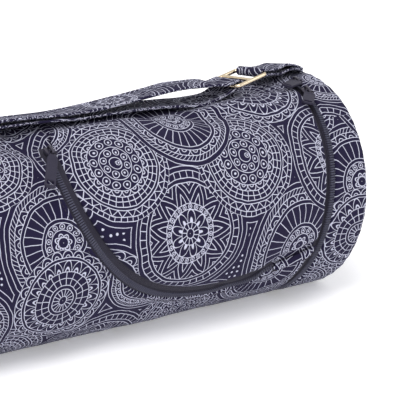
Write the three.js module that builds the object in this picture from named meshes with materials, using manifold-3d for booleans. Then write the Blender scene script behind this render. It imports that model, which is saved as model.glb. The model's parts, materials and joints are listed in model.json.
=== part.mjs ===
// A printed cotton yoga mat bag lying on its side: a soft hollow tube with a zip that opens its right
// end, a zipped front pocket, and a cloth shoulder strap folded back along the top through a wire slide.
// Millimetres, +X to the bag's right end, -Y to its front, +Z up, resting on z = 0.
import * as THREE from "three";
import Module from "manifold-3d";
import { mergeVertices } from "three/addons/utils/BufferGeometryUtils.js";

const wasm = await Module();
wasm.setup();

// Body
const bagLength = 657;
const bagWidth = 170;
const bagRise = 164.4;
const settle = 5;
const cloth = 1.5;
const clear = 0.3;
const rimCurl = 5;
const endSwell = 6;
const rimLean = 0.09;

// End opening
const zipFromRim = 35.6;
const zipLean = 0.215;
const hingeFront = 86;
const hingeBack = 118;
const coilWidth = 6;
const coilThick = 2.2;
const tapeShown = 5;
const tapeUnder = 3;
const tapeThick = 0.6;

// Front pocket
const pocketLength = 225;
const cornerLength = 137;
const cornerTurn = 83;
const pocketSideTurn = 50;
const pocketTopTurn = 75;
const pocketSwell = 7;
const pocketSeat = 0.8;

// Strap and its two slides
const strapWidth = 30;
const strapThick = 1.5;
const strapArch = 12.4;
const strapSide = -4.5;
const slideInner = 33;
const slideLength = 29;
const wire = 3.2;
const slideStation = 262.7;
const slideSide = -2;
const slideRise = 8.8;
const slideYaw = 7;
const slidePitch = 10;
const slideRoll = 8;
const foldReach = 5;
const adjusterFromRim = 90;
const adjusterRise = 6.2;
const tabSide = 21;

// Zip sliders and pulls
const sliderLength = 10;
const sliderWidth = 8;
const sliderThick = 2.2;
const bridgeWire = 1.1;
const bridgeWidth = 2;
const eyeInner = 2.3;
const eyeWire = 1.1;
const endPullLength = 16;
const endPullWidth = 9;
const pocketPullLength = 35;
const pocketPullWidth = 7.5;
const pullThick = 1.9;

// Values that follow from the sizes above
const deg = Math.PI / 180;
const halfWidth = bagWidth / 2;
const halfRise = bagRise / 2;
const restDepth = halfRise - settle;
const topLevel = halfRise + restDepth;
const rimStation = bagLength / 2;
const zipStation = rimStation - zipFromRim;
const degPerMm = 1 / (((halfWidth + halfRise) / 2) * deg);
const restTurn = Math.asin(restDepth / halfRise) / deg;
const slotLeft = zipStation - coilWidth / 2 - tapeShown;
const slotRight = zipStation + coilWidth / 2 + clear;
const pocketSide = zipStation - pocketLength;
const panelInset = coilWidth / 2 + tapeShown;

const lerp = THREE.MathUtils.lerp;
const clamp = THREE.MathUtils.clamp;

// Creases and puckers: each runs between two places on the skin; along is a share of the half length,
// turn is degrees round from the front, width and depth are shares of the bag's width.
const creases = [
  { along: 0.5, turn: 74, toAlong: 0.6, toTurn: 64, width: 0.08, depth: 0.02 },
  { along: 0.6, turn: 64, toAlong: 0.82, toTurn: 46, width: 0.08, depth: 0.018 },
  { along: 0.27, turn: 62, toAlong: 0.18, toTurn: 76, width: 0.07, depth: 0.02 },
  { along: -0.1, turn: 60, toAlong: 0.14, toTurn: 66, width: 0.09, depth: 0.014 },
  { along: 0.02, turn: 12, toAlong: 0.16, toTurn: -20, width: 0.09, depth: -0.014 },
  { along: 0.2, turn: -34, toAlong: 0.5, toTurn: -52, width: 0.08, depth: -0.012 },
  { along: -0.75, turn: 40, toAlong: -0.35, toTurn: 62, width: 0.1, depth: 0.02 },
  { along: -0.7, turn: 140, toAlong: -0.2, toTurn: 122, width: 0.1, depth: 0.018 },
  { along: 0.1, turn: 150, toAlong: 0.62, toTurn: 128, width: 0.1, depth: 0.016 },
  { along: 0.7, turn: 20, toAlong: 0.84, toTurn: 8, width: 0.08, depth: 0.008 },
];

// How far the skin stands in or out of its round section at one place.
function sag(along, turn) {
  let out = 0;
  for (const c of creases) {
    const x0 = c.along * rimStation;
    const x1 = c.toAlong * rimStation;
    const t0 = c.turn / degPerMm;
    const t1 = c.toTurn / degPerMm;
    const round = (((turn - c.turn + 540) % 360) - 180 + c.turn) / degPerMm;
    const run = (x1 - x0) ** 2 + (t1 - t0) ** 2;
    const share = clamp(((along - x0) * (x1 - x0) + (round - t0) * (t1 - t0)) / run, 0, 1);
    const far = Math.hypot(along - lerp(x0, x1, share), round - lerp(t0, t1, share));
    out -= c.depth * bagWidth * Math.exp(-((far / (c.width * bagWidth)) ** 2));
  }
  return out;
}

// Sideways travel of a section for each millimetre of height: both ends lean outwards at the top.
function lean(along) {
  if (along < 0) return (rimLean * along) / rimStation;
  const toZip = zipLean * clamp(along / zipStation, 0, 1);
  return toZip + (rimLean - zipLean) * clamp((along - zipStation) / zipFromRim, 0, 1);
}

// A point of the bag: along its axis, turned from the front over the top, and out from the cloth's face.
function skin(along, turn, out = 0) {
  const lift = out + sag(along, turn);
  const floor = -restDepth + Math.max(0, -out);
  const level = Math.max((halfRise + lift) * Math.sin(turn * deg), floor);
  const front = (halfWidth + lift) * Math.cos(turn * deg);
  return new THREE.Vector3(along + lean(along) * level, -front, level + restDepth);
}

// Splits the stretches between the given marks into steps no longer than the one asked for.
function stations(marks, step) {
  const out = [marks[0]];
  for (let i = 1; i < marks.length; i++) {
    const count = Math.max(1, Math.ceil(Math.abs(marks[i] - marks[i - 1]) / step - 1e-6));
    for (let k = 1; k <= count; k++) out.push(lerp(marks[i - 1], marks[i], k / count));
  }
  return out;
}

// A closed wall between an outer and an inner face, each a function of row and column; cells that keep
// turns away stay open, and round joins the last column to the first.
function wall(rows, columns, outer, inner, { round = false, keep = () => true } = {}) {
  const corners = [];
  const across = round ? columns : columns + 1;
  const index = (side, i, j) => (side * (rows + 1) + i) * across + (j % across);
  for (const face of [outer, inner])
    for (let i = 0; i <= rows; i++) for (let j = 0; j < across; j++) corners.push(...face(i, j).toArray());
  const triangles = [];
  const quad = (a, b, c, d) => triangles.push(a, b, c, a, c, d);
  const kept = (i, j) => {
    if (i < 0 || i >= rows) return false;
    if (!round && (j < 0 || j >= columns)) return false;
    return keep(i, (j + columns) % columns);
  };
  for (let i = 0; i < rows; i++)
    for (let j = 0; j < columns; j++) {
      if (!kept(i, j)) continue;
      quad(index(0, i, j), index(0, i + 1, j), index(0, i + 1, j + 1), index(0, i, j + 1));
      quad(index(1, i, j), index(1, i, j + 1), index(1, i + 1, j + 1), index(1, i + 1, j));
      if (!kept(i - 1, j)) quad(index(0, i, j), index(0, i, j + 1), index(1, i, j + 1), index(1, i, j));
      if (!kept(i + 1, j))
        quad(index(0, i + 1, j + 1), index(0, i + 1, j), index(1, i + 1, j), index(1, i + 1, j + 1));
      if (!kept(i, j - 1)) quad(index(0, i + 1, j), index(0, i, j), index(1, i, j), index(1, i + 1, j));
      if (!kept(i, j + 1))
        quad(index(0, i, j + 1), index(0, i + 1, j + 1), index(1, i + 1, j + 1), index(1, i, j + 1));
    }
  return closed(corners, triangles);
}

// Merges the corners that meet, drops triangles without area and turns the faces outwards.
function closed(corners, triangles) {
  const raw = new THREE.BufferGeometry();
  raw.setAttribute("position", new THREE.Float32BufferAttribute(corners, 3));
  raw.setIndex(triangles);
  const merged = mergeVertices(raw, 1e-3);
  const index = merged.index.array;
  const kept = [];
  for (let i = 0; i < index.length; i += 3) {
    const [a, b, c] = [index[i], index[i + 1], index[i + 2]];
    if (a !== b && b !== c && c !== a) kept.push(a, b, c);
  }
  merged.setIndex(kept);
  if (signedVolume(merged) < 0) {
    for (let i = 0; i < kept.length; i += 3) [kept[i + 1], kept[i + 2]] = [kept[i + 2], kept[i + 1]];
    merged.setIndex(kept);
  }
  return merged;
}

function signedVolume(geometry) {
  const p = geometry.getAttribute("position");
  const index = geometry.index.array;
  const [a, b, c] = [new THREE.Vector3(), new THREE.Vector3(), new THREE.Vector3()];
  let volume = 0;
  for (let i = 0; i < index.length; i += 3) {
    a.fromBufferAttribute(p, index[i]);
    b.fromBufferAttribute(p, index[i + 1]);
    c.fromBufferAttribute(p, index[i + 2]);
    volume += a.dot(b.cross(c)) / 6;
  }
  return volume;
}

// One solid out of several that overlap.
function joined(...geometries) {
  const solids = geometries.map((geometry) => {
    const bare = geometry.clone();
    bare.deleteAttribute("normal");
    bare.deleteAttribute("uv");
    const merged = mergeVertices(bare, 1e-3);
    return new wasm.Manifold(
      new wasm.Mesh({
        numProp: 3,
        vertProperties: new Float32Array(merged.getAttribute("position").array),
        triVerts: new Uint32Array(merged.index.array),
      }),
    );
  });
  const made = solids.reduce((all, next) => all.add(next)).getMesh();
  const geometry = new THREE.BufferGeometry();
  geometry.setAttribute("position", new THREE.BufferAttribute(made.vertProperties, 3));
  geometry.setIndex(new THREE.BufferAttribute(made.triVerts, 1));
  return geometry;
}

// Materials
const finish = (color, roughness, metalness = 0) => new THREE.MeshStandardMaterial({ color, roughness, metalness });
const print = finish(0x5a5780, 0.9);
const tapeCloth = finish(0x2a2940, 0.85);
const coilNylon = finish(0x24243a, 0.5);
const goldWire = finish(0xd8c49a, 0.3, 1);
const darkMetal = finish(0x34333f, 0.4, 0.8);
const rubber = finish(0x3f3a55, 0.7);

const bag = new THREE.Group();

function add(name, geometry, material, parent = bag) {
  const mesh = new THREE.Mesh(geometry, material);
  geometry.computeVertexNormals();
  mesh.name = name;
  parent.add(mesh);
  return mesh;
}

// Turns of one full ring, with marks where the underside is flat and where the zip's hinge begins and ends.
const ringTurns = stations([-restTurn, hingeFront, hingeBack, 180 + restTurn, 360 - restTurn], 8.8);
const ringColumns = ringTurns.length - 1;

// Body: the curl at each rim is a quarter round, and the zip's slot leaves the cloth whole at the hinge.
function bodyProfile() {
  const curlSteps = [90, 45];
  const rows = [];
  const curl = (side, angle) => {
    const bent = (radius) => ({
      along: side * (rimStation - rimCurl + radius * Math.sin(angle * deg)),
      out: -rimCurl + radius * Math.cos(angle * deg),
    });
    return { outer: bent(rimCurl), inner: bent(rimCurl - cloth) };
  };
  const flat = (along) => ({ outer: { along, out: 0 }, inner: { along, out: -cloth } });
  for (const angle of curlSteps) rows.push(curl(-1, angle));
  const left = stations([rimCurl - rimStation, pocketSide - pocketLength / 3], 52);
  const middle = stations([pocketSide - pocketLength / 3, slotLeft - tapeUnder, slotLeft], 16);
  for (const along of left) rows.push(flat(along));
  for (const along of middle.slice(1)) rows.push(flat(along));
  rows.push(flat(slotRight), flat(slotRight + tapeUnder), flat(rimStation - rimCurl));
  for (const angle of curlSteps.toReversed()) rows.push(curl(1, angle));
  return rows;
}

function bodyShell() {
  const rows = bodyProfile();
  const slotRow = rows.findIndex((row) => row.outer.along === slotLeft);
  const face = (side) => (i, j) => skin(rows[i][side].along, ringTurns[j], rows[i][side].out);
  const isHinge = (j) => ringTurns[j] >= hingeFront - clear && ringTurns[j + 1] <= hingeBack + clear;
  return wall(rows.length - 1, ringColumns, face("outer"), face("inner"), {
    round: true,
    keep: (i, j) => i !== slotRow || isHinge(j),
  });
}

add("body_shell", bodyShell(), print);

// End panels: slightly domed discs set into the curl of each rim.
function endPanel(side) {
  const shares = [1, 0.8, 0.45, 0];
  const edge = -rimCurl - clear;
  const face = (depth) => (i, j) => {
    const share = shares[i];
    const rim = skin(side * rimStation, ringTurns[j], edge);
    const centre = skin(side * rimStation, 0, edge).setY(0).setZ(restDepth);
    const point = centre.lerp(rim, share);
    point.x += side * (endSwell * (1 - share ** 2) - depth);
    return point;
  };
  return wall(shares.length - 1, ringColumns, face(0), face(cloth), { round: true });
}

add("right_end_panel", endPanel(1), print);
add("left_end_panel", endPanel(-1), print);

// End zip: a tape under both edges of the slot and the closed coil between them.
function endZipBand(marks, outerOut, innerOut) {
  const low = hingeBack - 360 + degPerMm * clear;
  const high = hingeFront - degPerMm * clear;
  const inside = ringTurns.map((turn) => (turn > hingeFront ? turn - 360 : turn)).sort((a, b) => a - b);
  const turns = [low, ...inside.filter((turn) => turn > low + 1 && turn < high - 1), high];
  const face = (out) => (i, j) => skin(marks[i], turns[j], out);
  return wall(marks.length - 1, turns.length - 1, face(outerOut), face(innerOut));
}

const tapeTop = -cloth - clear;
const endCoilTop = tapeTop + clear + coilThick;
const tapeMarks = [slotLeft - tapeUnder, slotLeft, slotRight, slotRight + tapeUnder];
const coilMarks = [zipStation - coilWidth / 2, zipStation + coilWidth / 2];
add("end_zip_tape", endZipBand(tapeMarks, tapeTop, tapeTop - tapeThick), tapeCloth);
add("end_zip_coil", endZipBand(coilMarks, endCoilTop, tapeTop + clear), coilNylon);

// The pocket's lower edge past its round corner climbs to the end zip: reach is a share of the way.
const pocketTail = [
  { reach: 0, turn: -33 },
  { reach: 0.35, turn: -30.5 },
  { reach: 0.52, turn: -24 },
  { reach: 0.75, turn: -21.5 },
  { reach: 1, turn: -17 },
];
const cornerEnd = pocketSide + cornerLength;
const tailLength = zipStation - cornerEnd;

function tailTurn(along) {
  const reach = (along - cornerEnd) / tailLength;
  const k = Math.max(1, pocketTail.findIndex((row) => row.reach >= reach - 1e-9));
  const [a, b] = [pocketTail[k - 1], pocketTail[k]];
  const share = (reach - a.reach) / (b.reach - a.reach);
  return lerp(a.turn, b.turn, share) + (pocketSideTurn - cornerTurn - pocketTail[0].turn);
}

// The zip's middle line: down the pocket's side, round its corner and along its lower edge.
function pocketZipPath() {
  const points = [
    new THREE.Vector2(pocketSide + 4, pocketSideTurn + 14),
    new THREE.Vector2(pocketSide + 1, pocketSideTurn + 7),
  ];
  for (const angle of stations([0, 90], 5))
    points.push(
      new THREE.Vector2(
        pocketSide + cornerLength * (1 - Math.cos(angle * deg)),
        pocketSideTurn - cornerTurn * Math.sin(angle * deg),
      ),
    );
  for (const row of pocketTail.slice(1, 3)) {
    const along = cornerEnd + row.reach * tailLength;
    points.push(new THREE.Vector2(along, tailTurn(along)));
  }
  return points;
}

// A band along the pocket's zip, whose marks are offsets to the inner side of the pocket.
function pocketBand(marks, outerOut, innerOut) {
  const path = pocketZipPath();
  const place = (i, j, out) => {
    const ahead = path[Math.min(j + 1, path.length - 1)];
    const behind = path[Math.max(j - 1, 0)];
    const run = new THREE.Vector2(ahead.x - behind.x, (ahead.y - behind.y) / degPerMm).normalize();
    return skin(path[j].x - run.y * marks[i], path[j].y + run.x * marks[i] * degPerMm, out);
  };
  const face = (out) => (i, j) => place(i, j, out);
  return wall(marks.length - 1, path.length - 1, face(outerOut), face(innerOut));
}

const pocketTapeTop = pocketSeat + tapeThick;
const pocketCoilFoot = pocketTapeTop + clear;
const pocketCoilTop = pocketCoilFoot + coilThick;
const panelSeat = pocketTapeTop + 2 * clear;
const pocketTapeMarks = stations([-coilWidth / 2 - tapeUnder, panelInset + tapeUnder], 6);
const pocketCoilMarks = [-coilWidth / 2, coilWidth / 2];
add("pocket_zip_tape", pocketBand(pocketTapeMarks, pocketTapeTop, pocketSeat), tapeCloth);
add("pocket_zip_coil", pocketBand(pocketCoilMarks, pocketCoilTop, pocketCoilFoot), coilNylon);

// Pocket panel: a swelling sheet over the front, inside its zip, up to the strap and to the end zip.
function pocketPanel() {
  const side = pocketSide + panelInset;
  const cornerSpan = cornerLength - panelInset;
  const lowDrop = cornerTurn - panelInset * degPerMm;
  const right = slotLeft - clear;
  const columns = [];
  for (const angle of stations([10, 90], 9)) {
    columns.push({
      along: side + cornerSpan * (1 - Math.cos(angle * deg)),
      low: pocketSideTurn - lowDrop * Math.sin(angle * deg),
    });
  }
  for (const reach of [0.18, 0.35, 0.52, 0.68, 0.84, 1]) {
    const along = lerp(cornerEnd, right, reach);
    columns.push({ along, low: tailTurn(along) + panelInset * degPerMm });
  }
  const shoulder = { reach: 22, turn: pocketSideTurn + 8 };
  const top = (along) => lerp(shoulder.turn, pocketTopTurn, clamp((along - side) / shoulder.reach, 0, 1));
  const steps = stations([0, 1], 1 / 14);
  const swell = (u, v) => pocketSwell * (1 - (2 * u - 1) ** 4) * (1 - (2 * v - 1) ** 4);
  const seat = (u, v) => lerp(panelSeat, pocketSeat, clamp(u / 0.15, 0, 1) * clamp(v / 0.3, 0, 1));
  const face = (depth) => (i, j) => {
    const column = columns[i];
    const turn = lerp(column.low, top(column.along), steps[j]);
    const u = (column.along - side) / (right - side);
    return skin(column.along, turn, seat(u, steps[j]) + cloth + swell(u, steps[j]) - depth);
  };
  return wall(columns.length - 1, steps.length - 1, face(0), face(cloth));
}

add("pocket_panel", pocketPanel(), print);

// Slides: a wire frame with a middle bar; X runs along the strap and Y across it.
function slideGeometry() {
  const bevel = wire * 0.3;
  const shape = roundedRectangle(slideLength + wire - 2 * bevel, slideInner + 2 * (wire - bevel), wire - bevel);
  const slot = slideLength / 2 - wire;
  for (const side of [-1, 1]) {
    const centre = (side * slideLength) / 4;
    shape.holes.push(roundedRectangle(slot + 2 * bevel, slideInner + 2 * bevel, bevel * 1.4, centre));
  }
  const depth = wire - 2 * bevel;
  const rounding = { bevelEnabled: true, bevelThickness: bevel, bevelSize: bevel, bevelSegments: 1 };
  const frame = new THREE.ExtrudeGeometry(shape, { depth, curveSegments: 2, ...rounding });
  return joined(frame.translate(0, 0, -depth / 2));
}

function roundedRectangle(length, width, radius, centre = 0) {
  const shape = new THREE.Shape();
  const [x, y] = [length / 2, width / 2];
  const r = Math.min(radius, x * 0.9, y * 0.9);
  shape.moveTo(centre - x + r, -y);
  shape.lineTo(centre + x - r, -y);
  shape.absarc(centre + x - r, -y + r, r, -Math.PI / 2, 0);
  shape.lineTo(centre + x, y - r);
  shape.absarc(centre + x - r, y - r, r, 0, Math.PI / 2);
  shape.lineTo(centre - x + r, y);
  shape.absarc(centre - x + r, y - r, r, Math.PI / 2, Math.PI);
  shape.lineTo(centre - x, -y + r);
  shape.absarc(centre - x + r, -y + r, r, Math.PI, Math.PI * 1.5);
  return shape;
}

const slide = new THREE.Group();
slide.position.set(slideStation, slideSide, topLevel + slideRise);
slide.rotation.set(-slideRoll * deg, -slidePitch * deg, slideYaw * deg, "ZYX");
bag.add(slide);
add("strap_slide", slideGeometry(), goldWire, slide);
slide.updateMatrix();

const adjusterStation = adjusterFromRim - rimStation;
const adjuster = add("strap_adjuster", slideGeometry(), goldWire);
adjuster.position.set(adjusterStation, strapSide, topLevel + adjusterRise);

// A band of even width along rows of points; across is the way that its width runs.
function ribbon(rows, width, thick) {
  const at = rows.map((row) => row.point);
  const frames = rows.map((row, i) => {
    const next = Math.min(i + 1, at.length - 1);
    const last = Math.max(i - 1, 0);
    const ahead = at[next].clone().sub(at[next - 1]).normalize();
    ahead.add(at[last + 1].clone().sub(at[last]).normalize());
    const across = row.across.clone().normalize();
    return { across, up: new THREE.Vector3().crossVectors(ahead, across).normalize() };
  });
  const face = (side) => (i, j) =>
    at[i]
      .clone()
      .addScaledVector(frames[i].across, (j - 0.5) * width)
      .addScaledVector(frames[i].up, (side * thick) / 2);
  return wall(rows.length - 1, 1, face(1), face(-1));
}

// The slide's own places, taken into the bag's frame.
const slideAcross = new THREE.Vector3(0, 1, 0).transformDirection(slide.matrix);
const level = new THREE.Vector3(0, 1, 0);
const inSlide = (along, rise) => ({
  point: new THREE.Vector3(along, 0, rise).applyMatrix4(slide.matrix),
  across: slideAcross,
});
const onTop = (along, side, rise, slideShare = 0) => ({
  point: new THREE.Vector3(along, side, topLevel + rise),
  across: level.clone().lerp(slideAcross, slideShare),
});
const bent = (centre, radius, from, to, steps, place) =>
  stations([from, to], Math.abs(to - from) / steps).map((angle) =>
    place(centre.x + radius * Math.cos(angle * deg), centre.y + radius * Math.sin(angle * deg)),
  );

// Strap: sewn at the left rim, threaded through the adjuster, arched along the top to the slide, folded
// over its left bar and led back underneath to a loop round the adjuster's middle bar.
const strapGap = wire / 2 + clear + strapThick / 2;
const strapFoot = strapThick / 2 + 2 * clear;
const archRows = [
  { along: -0.5, rise: 0.34 },
  { along: -0.2, rise: 0.42 },
  { along: 0.08, rise: 0.52 },
  { along: 0.3, rise: 0.62 },
  { along: 0.45, rise: 0.78 },
  { along: 0.57, rise: 0.96 },
  { along: 0.66, rise: 1 },
  { along: 0.715, rise: 0.92 },
];

function strapRows() {
  const half = slideLength / 2;
  const flat = (along, rise, slideShare = 0) => onTop(along, strapSide, rise, slideShare);
  const loop = strapGap + strapThick + clear;
  const underBar = adjusterRise - strapGap;
  const pass = half - wire / 2 - clear - strapThick / 2;
  const rows = [
    flat(-rimStation - rimLean * halfRise + rimCurl + clear, strapFoot),
    flat(lerp(-rimStation, adjusterStation, 0.4), strapFoot + 1.5),
    flat(adjusterStation - half - 6, underBar),
    flat(adjusterStation - pass, underBar),
    flat(adjusterStation - loop * 0.9, adjusterRise + loop * 0.72),
    flat(adjusterStation, adjusterRise + loop),
    flat(adjusterStation + loop * 0.9, adjusterRise + loop * 0.72),
    flat(adjusterStation + pass, underBar),
    flat(adjusterStation + half + 6, underBar),
  ];
  for (const row of archRows) rows.push(flat(row.along * rimStation, row.rise * strapArch));
  const over = inSlide(-half - 5, strapGap + 0.4);
  rows.push(over, inSlide(-half, strapGap));
  rows.push(...bent({ x: foldReach - half, y: 0 }, strapGap, 80, -80, 6, inSlide));
  rows.push(inSlide(-half, -strapGap));
  const back = inSlide(-half, -strapGap).point.x;
  rows.push(flat(back - 12, strapFoot + 1.6, 0.6), flat(back - 26, strapFoot + 0.4, 0.2));
  for (const share of stations([0.62, -0.55], 0.2)) rows.push(flat(share * rimStation, strapFoot));
  rows.push(flat(adjusterStation + half + 8, underBar - strapThick - clear));
  rows.push(flat(adjusterStation + pass - strapThick / 2, underBar - strapThick - clear));
  rows.push(flat(adjusterStation + 3, adjusterRise - strapGap + 0.2));
  rows.push(...bent({ x: adjusterStation, y: adjusterRise }, strapGap, -90, -290, 7, (x, z) => flat(x, z)));
  return rows;
}

add("strap", ribbon(strapRows(), strapWidth, strapThick), print);

// Right tab: a doubled band sewn at the rim, arched over the hinge and rolled round the slide's right bar.
const tabRows = [
  { share: 0.22, side: 0.16, rise: 0.98 },
  { share: 0.45, side: 0.42, rise: 0.72 },
  { share: 0.68, side: 0.68, rise: 0.42 },
  { share: 0.86, side: 0.88, rise: 0.2 },
  { share: 1, side: 1, rise: 0 },
];

function tabBand() {
  const half = slideLength / 2;
  const bar = inSlide(half, 0).point;
  const rimTop = rimStation + rimLean * halfRise - rimCurl - clear;
  const rollEnd = Math.asin(tabSide / halfWidth) / deg;
  const fall = halfRise * (1 - Math.cos(rollEnd * deg));
  const apart = (strapThick + clear) / 2;
  const low = topLevel - fall + strapThick / 2 + 2 * clear;
  const rimAcross = new THREE.Vector3(0, Math.cos(rollEnd * deg), -Math.sin(rollEnd * deg));
  const strand = (lift) =>
    tabRows.map((row) => ({
      point: new THREE.Vector3(
        lerp(bar.x, rimTop, row.share),
        lerp(bar.y, tabSide, row.side),
        lerp(low, bar.z - apart, row.rise) + lift,
      ),
      across: slideAcross.clone().lerp(rimAcross, row.share),
    }));
  const roll = bent({ x: half, y: 0 }, strapGap, -60, -300, 8, inSlide);
  return ribbon([...strand(0).reverse(), ...roll, ...strand(2 * apart)], strapWidth, strapThick);
}

add("strap_tab", tabBand(), print);

// Zip sliders: a flat body that is narrower at its tail, with a bridge that a pull's eye passes under.
function sliderGeometry() {
  const [x, y] = [sliderLength / 2, sliderWidth / 2];
  const plate = new THREE.Shape();
  plate.moveTo(-x, -y);
  plate.lineTo(x * 0.3, -y);
  plate.lineTo(x, -y * 0.6);
  plate.lineTo(x, y * 0.6);
  plate.lineTo(x * 0.3, y);
  plate.lineTo(-x, y);
  const body = new THREE.ExtrudeGeometry(plate, { depth: sliderThick, bevelEnabled: false });
  const outer = sliderLength * 0.42;
  const inner = outer - bridgeWire;
  const rise = eyeWire + 2 * clear + 0.3;
  const arch = new THREE.Shape();
  arch.moveTo(-outer, -clear);
  arch.lineTo(-outer, rise + bridgeWire * 0.4);
  arch.lineTo(-outer + bridgeWire * 0.6, rise + bridgeWire);
  arch.lineTo(outer - bridgeWire * 0.6, rise + bridgeWire);
  arch.lineTo(outer, rise + bridgeWire * 0.4);
  arch.lineTo(outer, -clear);
  arch.lineTo(inner, -clear);
  arch.lineTo(inner, rise);
  arch.lineTo(-inner, rise);
  arch.lineTo(-inner, -clear);
  const bridge = new THREE.ExtrudeGeometry(arch, { depth: bridgeWidth, bevelEnabled: false });
  bridge.rotateX(Math.PI / 2).translate(0, bridgeWidth / 2, sliderThick);
  return joined(body, bridge);
}

// Pulls: an eye round one leg of the bridge and a tab that runs out along X.
function pullGeometry(length, width) {
  const ring = new THREE.Shape();
  const outer = eyeInner + eyeWire;
  ring.absarc(0, 0, outer, 0, Math.PI * 2);
  const hole = new THREE.Path();
  hole.absarc(0, 0, eyeInner, 0, Math.PI * 2);
  ring.holes.push(hole);
  const eye = new THREE.ExtrudeGeometry(ring, { depth: eyeWire, bevelEnabled: false, curveSegments: 12 });
  const tabShape = roundedRectangle(length, width, width * 0.22);
  const tab = new THREE.ExtrudeGeometry(tabShape, { depth: pullThick, bevelEnabled: false, curveSegments: 2 });
  tab.translate(length / 2 + eyeInner + eyeWire * 0.4, 0, (eyeWire - pullThick) / 2);
  return joined(eye, tab);
}

// A slider and its pull on the skin: heading is the zip's run, in degrees from straight down the front
// towards the left end, and swing and pitch turn the pull from the zip's run and down onto the cloth.
function addSlider(name, along, turn, out, { heading, swing, pitch, length, width }) {
  const origin = skin(along, turn, out);
  const down = skin(along, turn - 2, out).sub(skin(along, turn + 2, out)).normalize();
  const left = skin(along - 2, turn, out).sub(skin(along + 2, turn, out));
  left.addScaledVector(down, -left.dot(down)).normalize();
  const out3 = new THREE.Vector3().crossVectors(left, down);
  const side = out3.z < 0 ? out3.negate() : out3;
  const run = down.clone().multiplyScalar(Math.cos(heading * deg)).addScaledVector(left, Math.sin(heading * deg));
  const holder = new THREE.Group();
  const basis = new THREE.Matrix4().makeBasis(run, new THREE.Vector3().crossVectors(side, run), side);
  holder.quaternion.setFromRotationMatrix(basis);
  holder.position.copy(origin);
  bag.add(holder);
  add(name + "_slider", sliderGeometry(), darkMetal, holder);
  const pull = add(name + "_pull", pullGeometry(length, width), rubber, holder);
  pull.rotation.set(0, pitch * deg, swing * deg, "ZYX");
  pull.position.set(sliderLength * 0.42 - bridgeWire / 2, 0, sliderThick + clear);
}

const endZipOut = endCoilTop + clear;
addSlider("end_zip_upper", zipStation, hingeFront - 4.5, endZipOut, {
  heading: 0, swing: -62, pitch: 4, length: endPullLength, width: endPullWidth,
});
addSlider("end_zip_lower", zipStation, hingeFront - 15.5, endZipOut, {
  heading: 0, swing: -27, pitch: 4, length: endPullLength, width: endPullWidth,
});
addSlider("pocket_zip", pocketSide + 2.5, pocketSideTurn + 10, pocketCoilTop + clear, {
  heading: 0, swing: -20, pitch: 4, length: pocketPullLength, width: pocketPullWidth,
});

// The finished bag stands on the middle of its own footprint.
const box = new THREE.Box3().setFromObject(bag, true);
bag.position.set(-(box.min.x + box.max.x) / 2, -(box.min.y + box.max.y) / 2, -box.min.z);

export default bag;
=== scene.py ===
"""Looks of a yoga mat bag: printed cloth, zips, wire slides and strap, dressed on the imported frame."""

from __future__ import annotations

import json
import logging
import math
from collections.abc import Callable, Iterable, Iterator, Sequence
from contextlib import contextmanager
from dataclasses import dataclass
from enum import Enum

import bpy
import numpy as np
from mathutils import Matrix, Vector, noise

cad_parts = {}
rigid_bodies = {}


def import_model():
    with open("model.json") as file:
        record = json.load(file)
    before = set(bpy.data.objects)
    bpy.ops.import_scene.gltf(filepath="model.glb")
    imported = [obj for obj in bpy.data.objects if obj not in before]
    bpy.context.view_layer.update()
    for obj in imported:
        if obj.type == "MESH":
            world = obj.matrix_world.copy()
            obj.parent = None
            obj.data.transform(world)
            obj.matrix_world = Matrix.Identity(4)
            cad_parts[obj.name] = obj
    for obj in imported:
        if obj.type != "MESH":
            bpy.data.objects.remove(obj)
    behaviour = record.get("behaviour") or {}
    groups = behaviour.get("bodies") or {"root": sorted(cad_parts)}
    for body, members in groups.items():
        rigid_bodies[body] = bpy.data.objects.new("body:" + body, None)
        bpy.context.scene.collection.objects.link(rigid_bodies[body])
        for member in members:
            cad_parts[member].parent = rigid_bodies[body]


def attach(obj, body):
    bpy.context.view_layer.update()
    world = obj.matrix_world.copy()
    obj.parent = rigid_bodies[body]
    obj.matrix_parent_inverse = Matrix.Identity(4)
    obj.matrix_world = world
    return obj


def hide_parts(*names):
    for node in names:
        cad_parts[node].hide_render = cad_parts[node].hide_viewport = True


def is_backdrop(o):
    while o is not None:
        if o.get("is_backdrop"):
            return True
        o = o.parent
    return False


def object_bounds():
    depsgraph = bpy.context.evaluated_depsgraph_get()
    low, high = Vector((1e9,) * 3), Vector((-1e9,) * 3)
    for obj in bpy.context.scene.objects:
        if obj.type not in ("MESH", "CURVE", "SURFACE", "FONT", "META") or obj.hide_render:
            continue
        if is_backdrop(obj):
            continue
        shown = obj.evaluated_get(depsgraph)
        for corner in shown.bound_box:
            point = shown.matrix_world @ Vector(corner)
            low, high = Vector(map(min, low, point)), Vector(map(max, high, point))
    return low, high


log = logging.getLogger("yoga_mat_bag")

MM = 0.001
Socket = bpy.types.NodeSocket
Value = float | Socket


class Slot(Enum):
    """The record's material slots."""

    CLOTH = "printed_cloth"
    GOLD = "gold_wire"
    TAPE = "zip_tape"
    COIL = "zip_coil"
    METAL = "dark_metal"
    RUBBER = "pull_rubber"


class Band(Enum):
    """Ornaments that fill one ring of a medallion."""

    PLAIN = 0
    DASHES = 1
    SCALLOPS = 2
    BEADS = 3
    CHEVRONS = 4
    PETALS = 5
    LADDER = 6
    HATCH = 7


def lerp(a: float | np.ndarray, b: float | np.ndarray, share: float | np.ndarray) -> float | np.ndarray:
    """The value at that share of the way from a to b."""
    return a + (b - a) * share


def stations(marks: Sequence[float], step: float) -> list[float]:
    """Splits the stretches between marks into even steps.

    Args:
        marks: places that are kept, in order.
        step: the longest step.

    Returns:
        The marks and the places between them.
    """
    out = [float(marks[0])]
    for a, b in zip(marks, marks[1:]):
        count = max(1, math.ceil(abs(b - a) / step - 1e-6))
        out += [lerp(a, b, k / count) for k in range(1, count + 1)]
    return out


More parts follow.
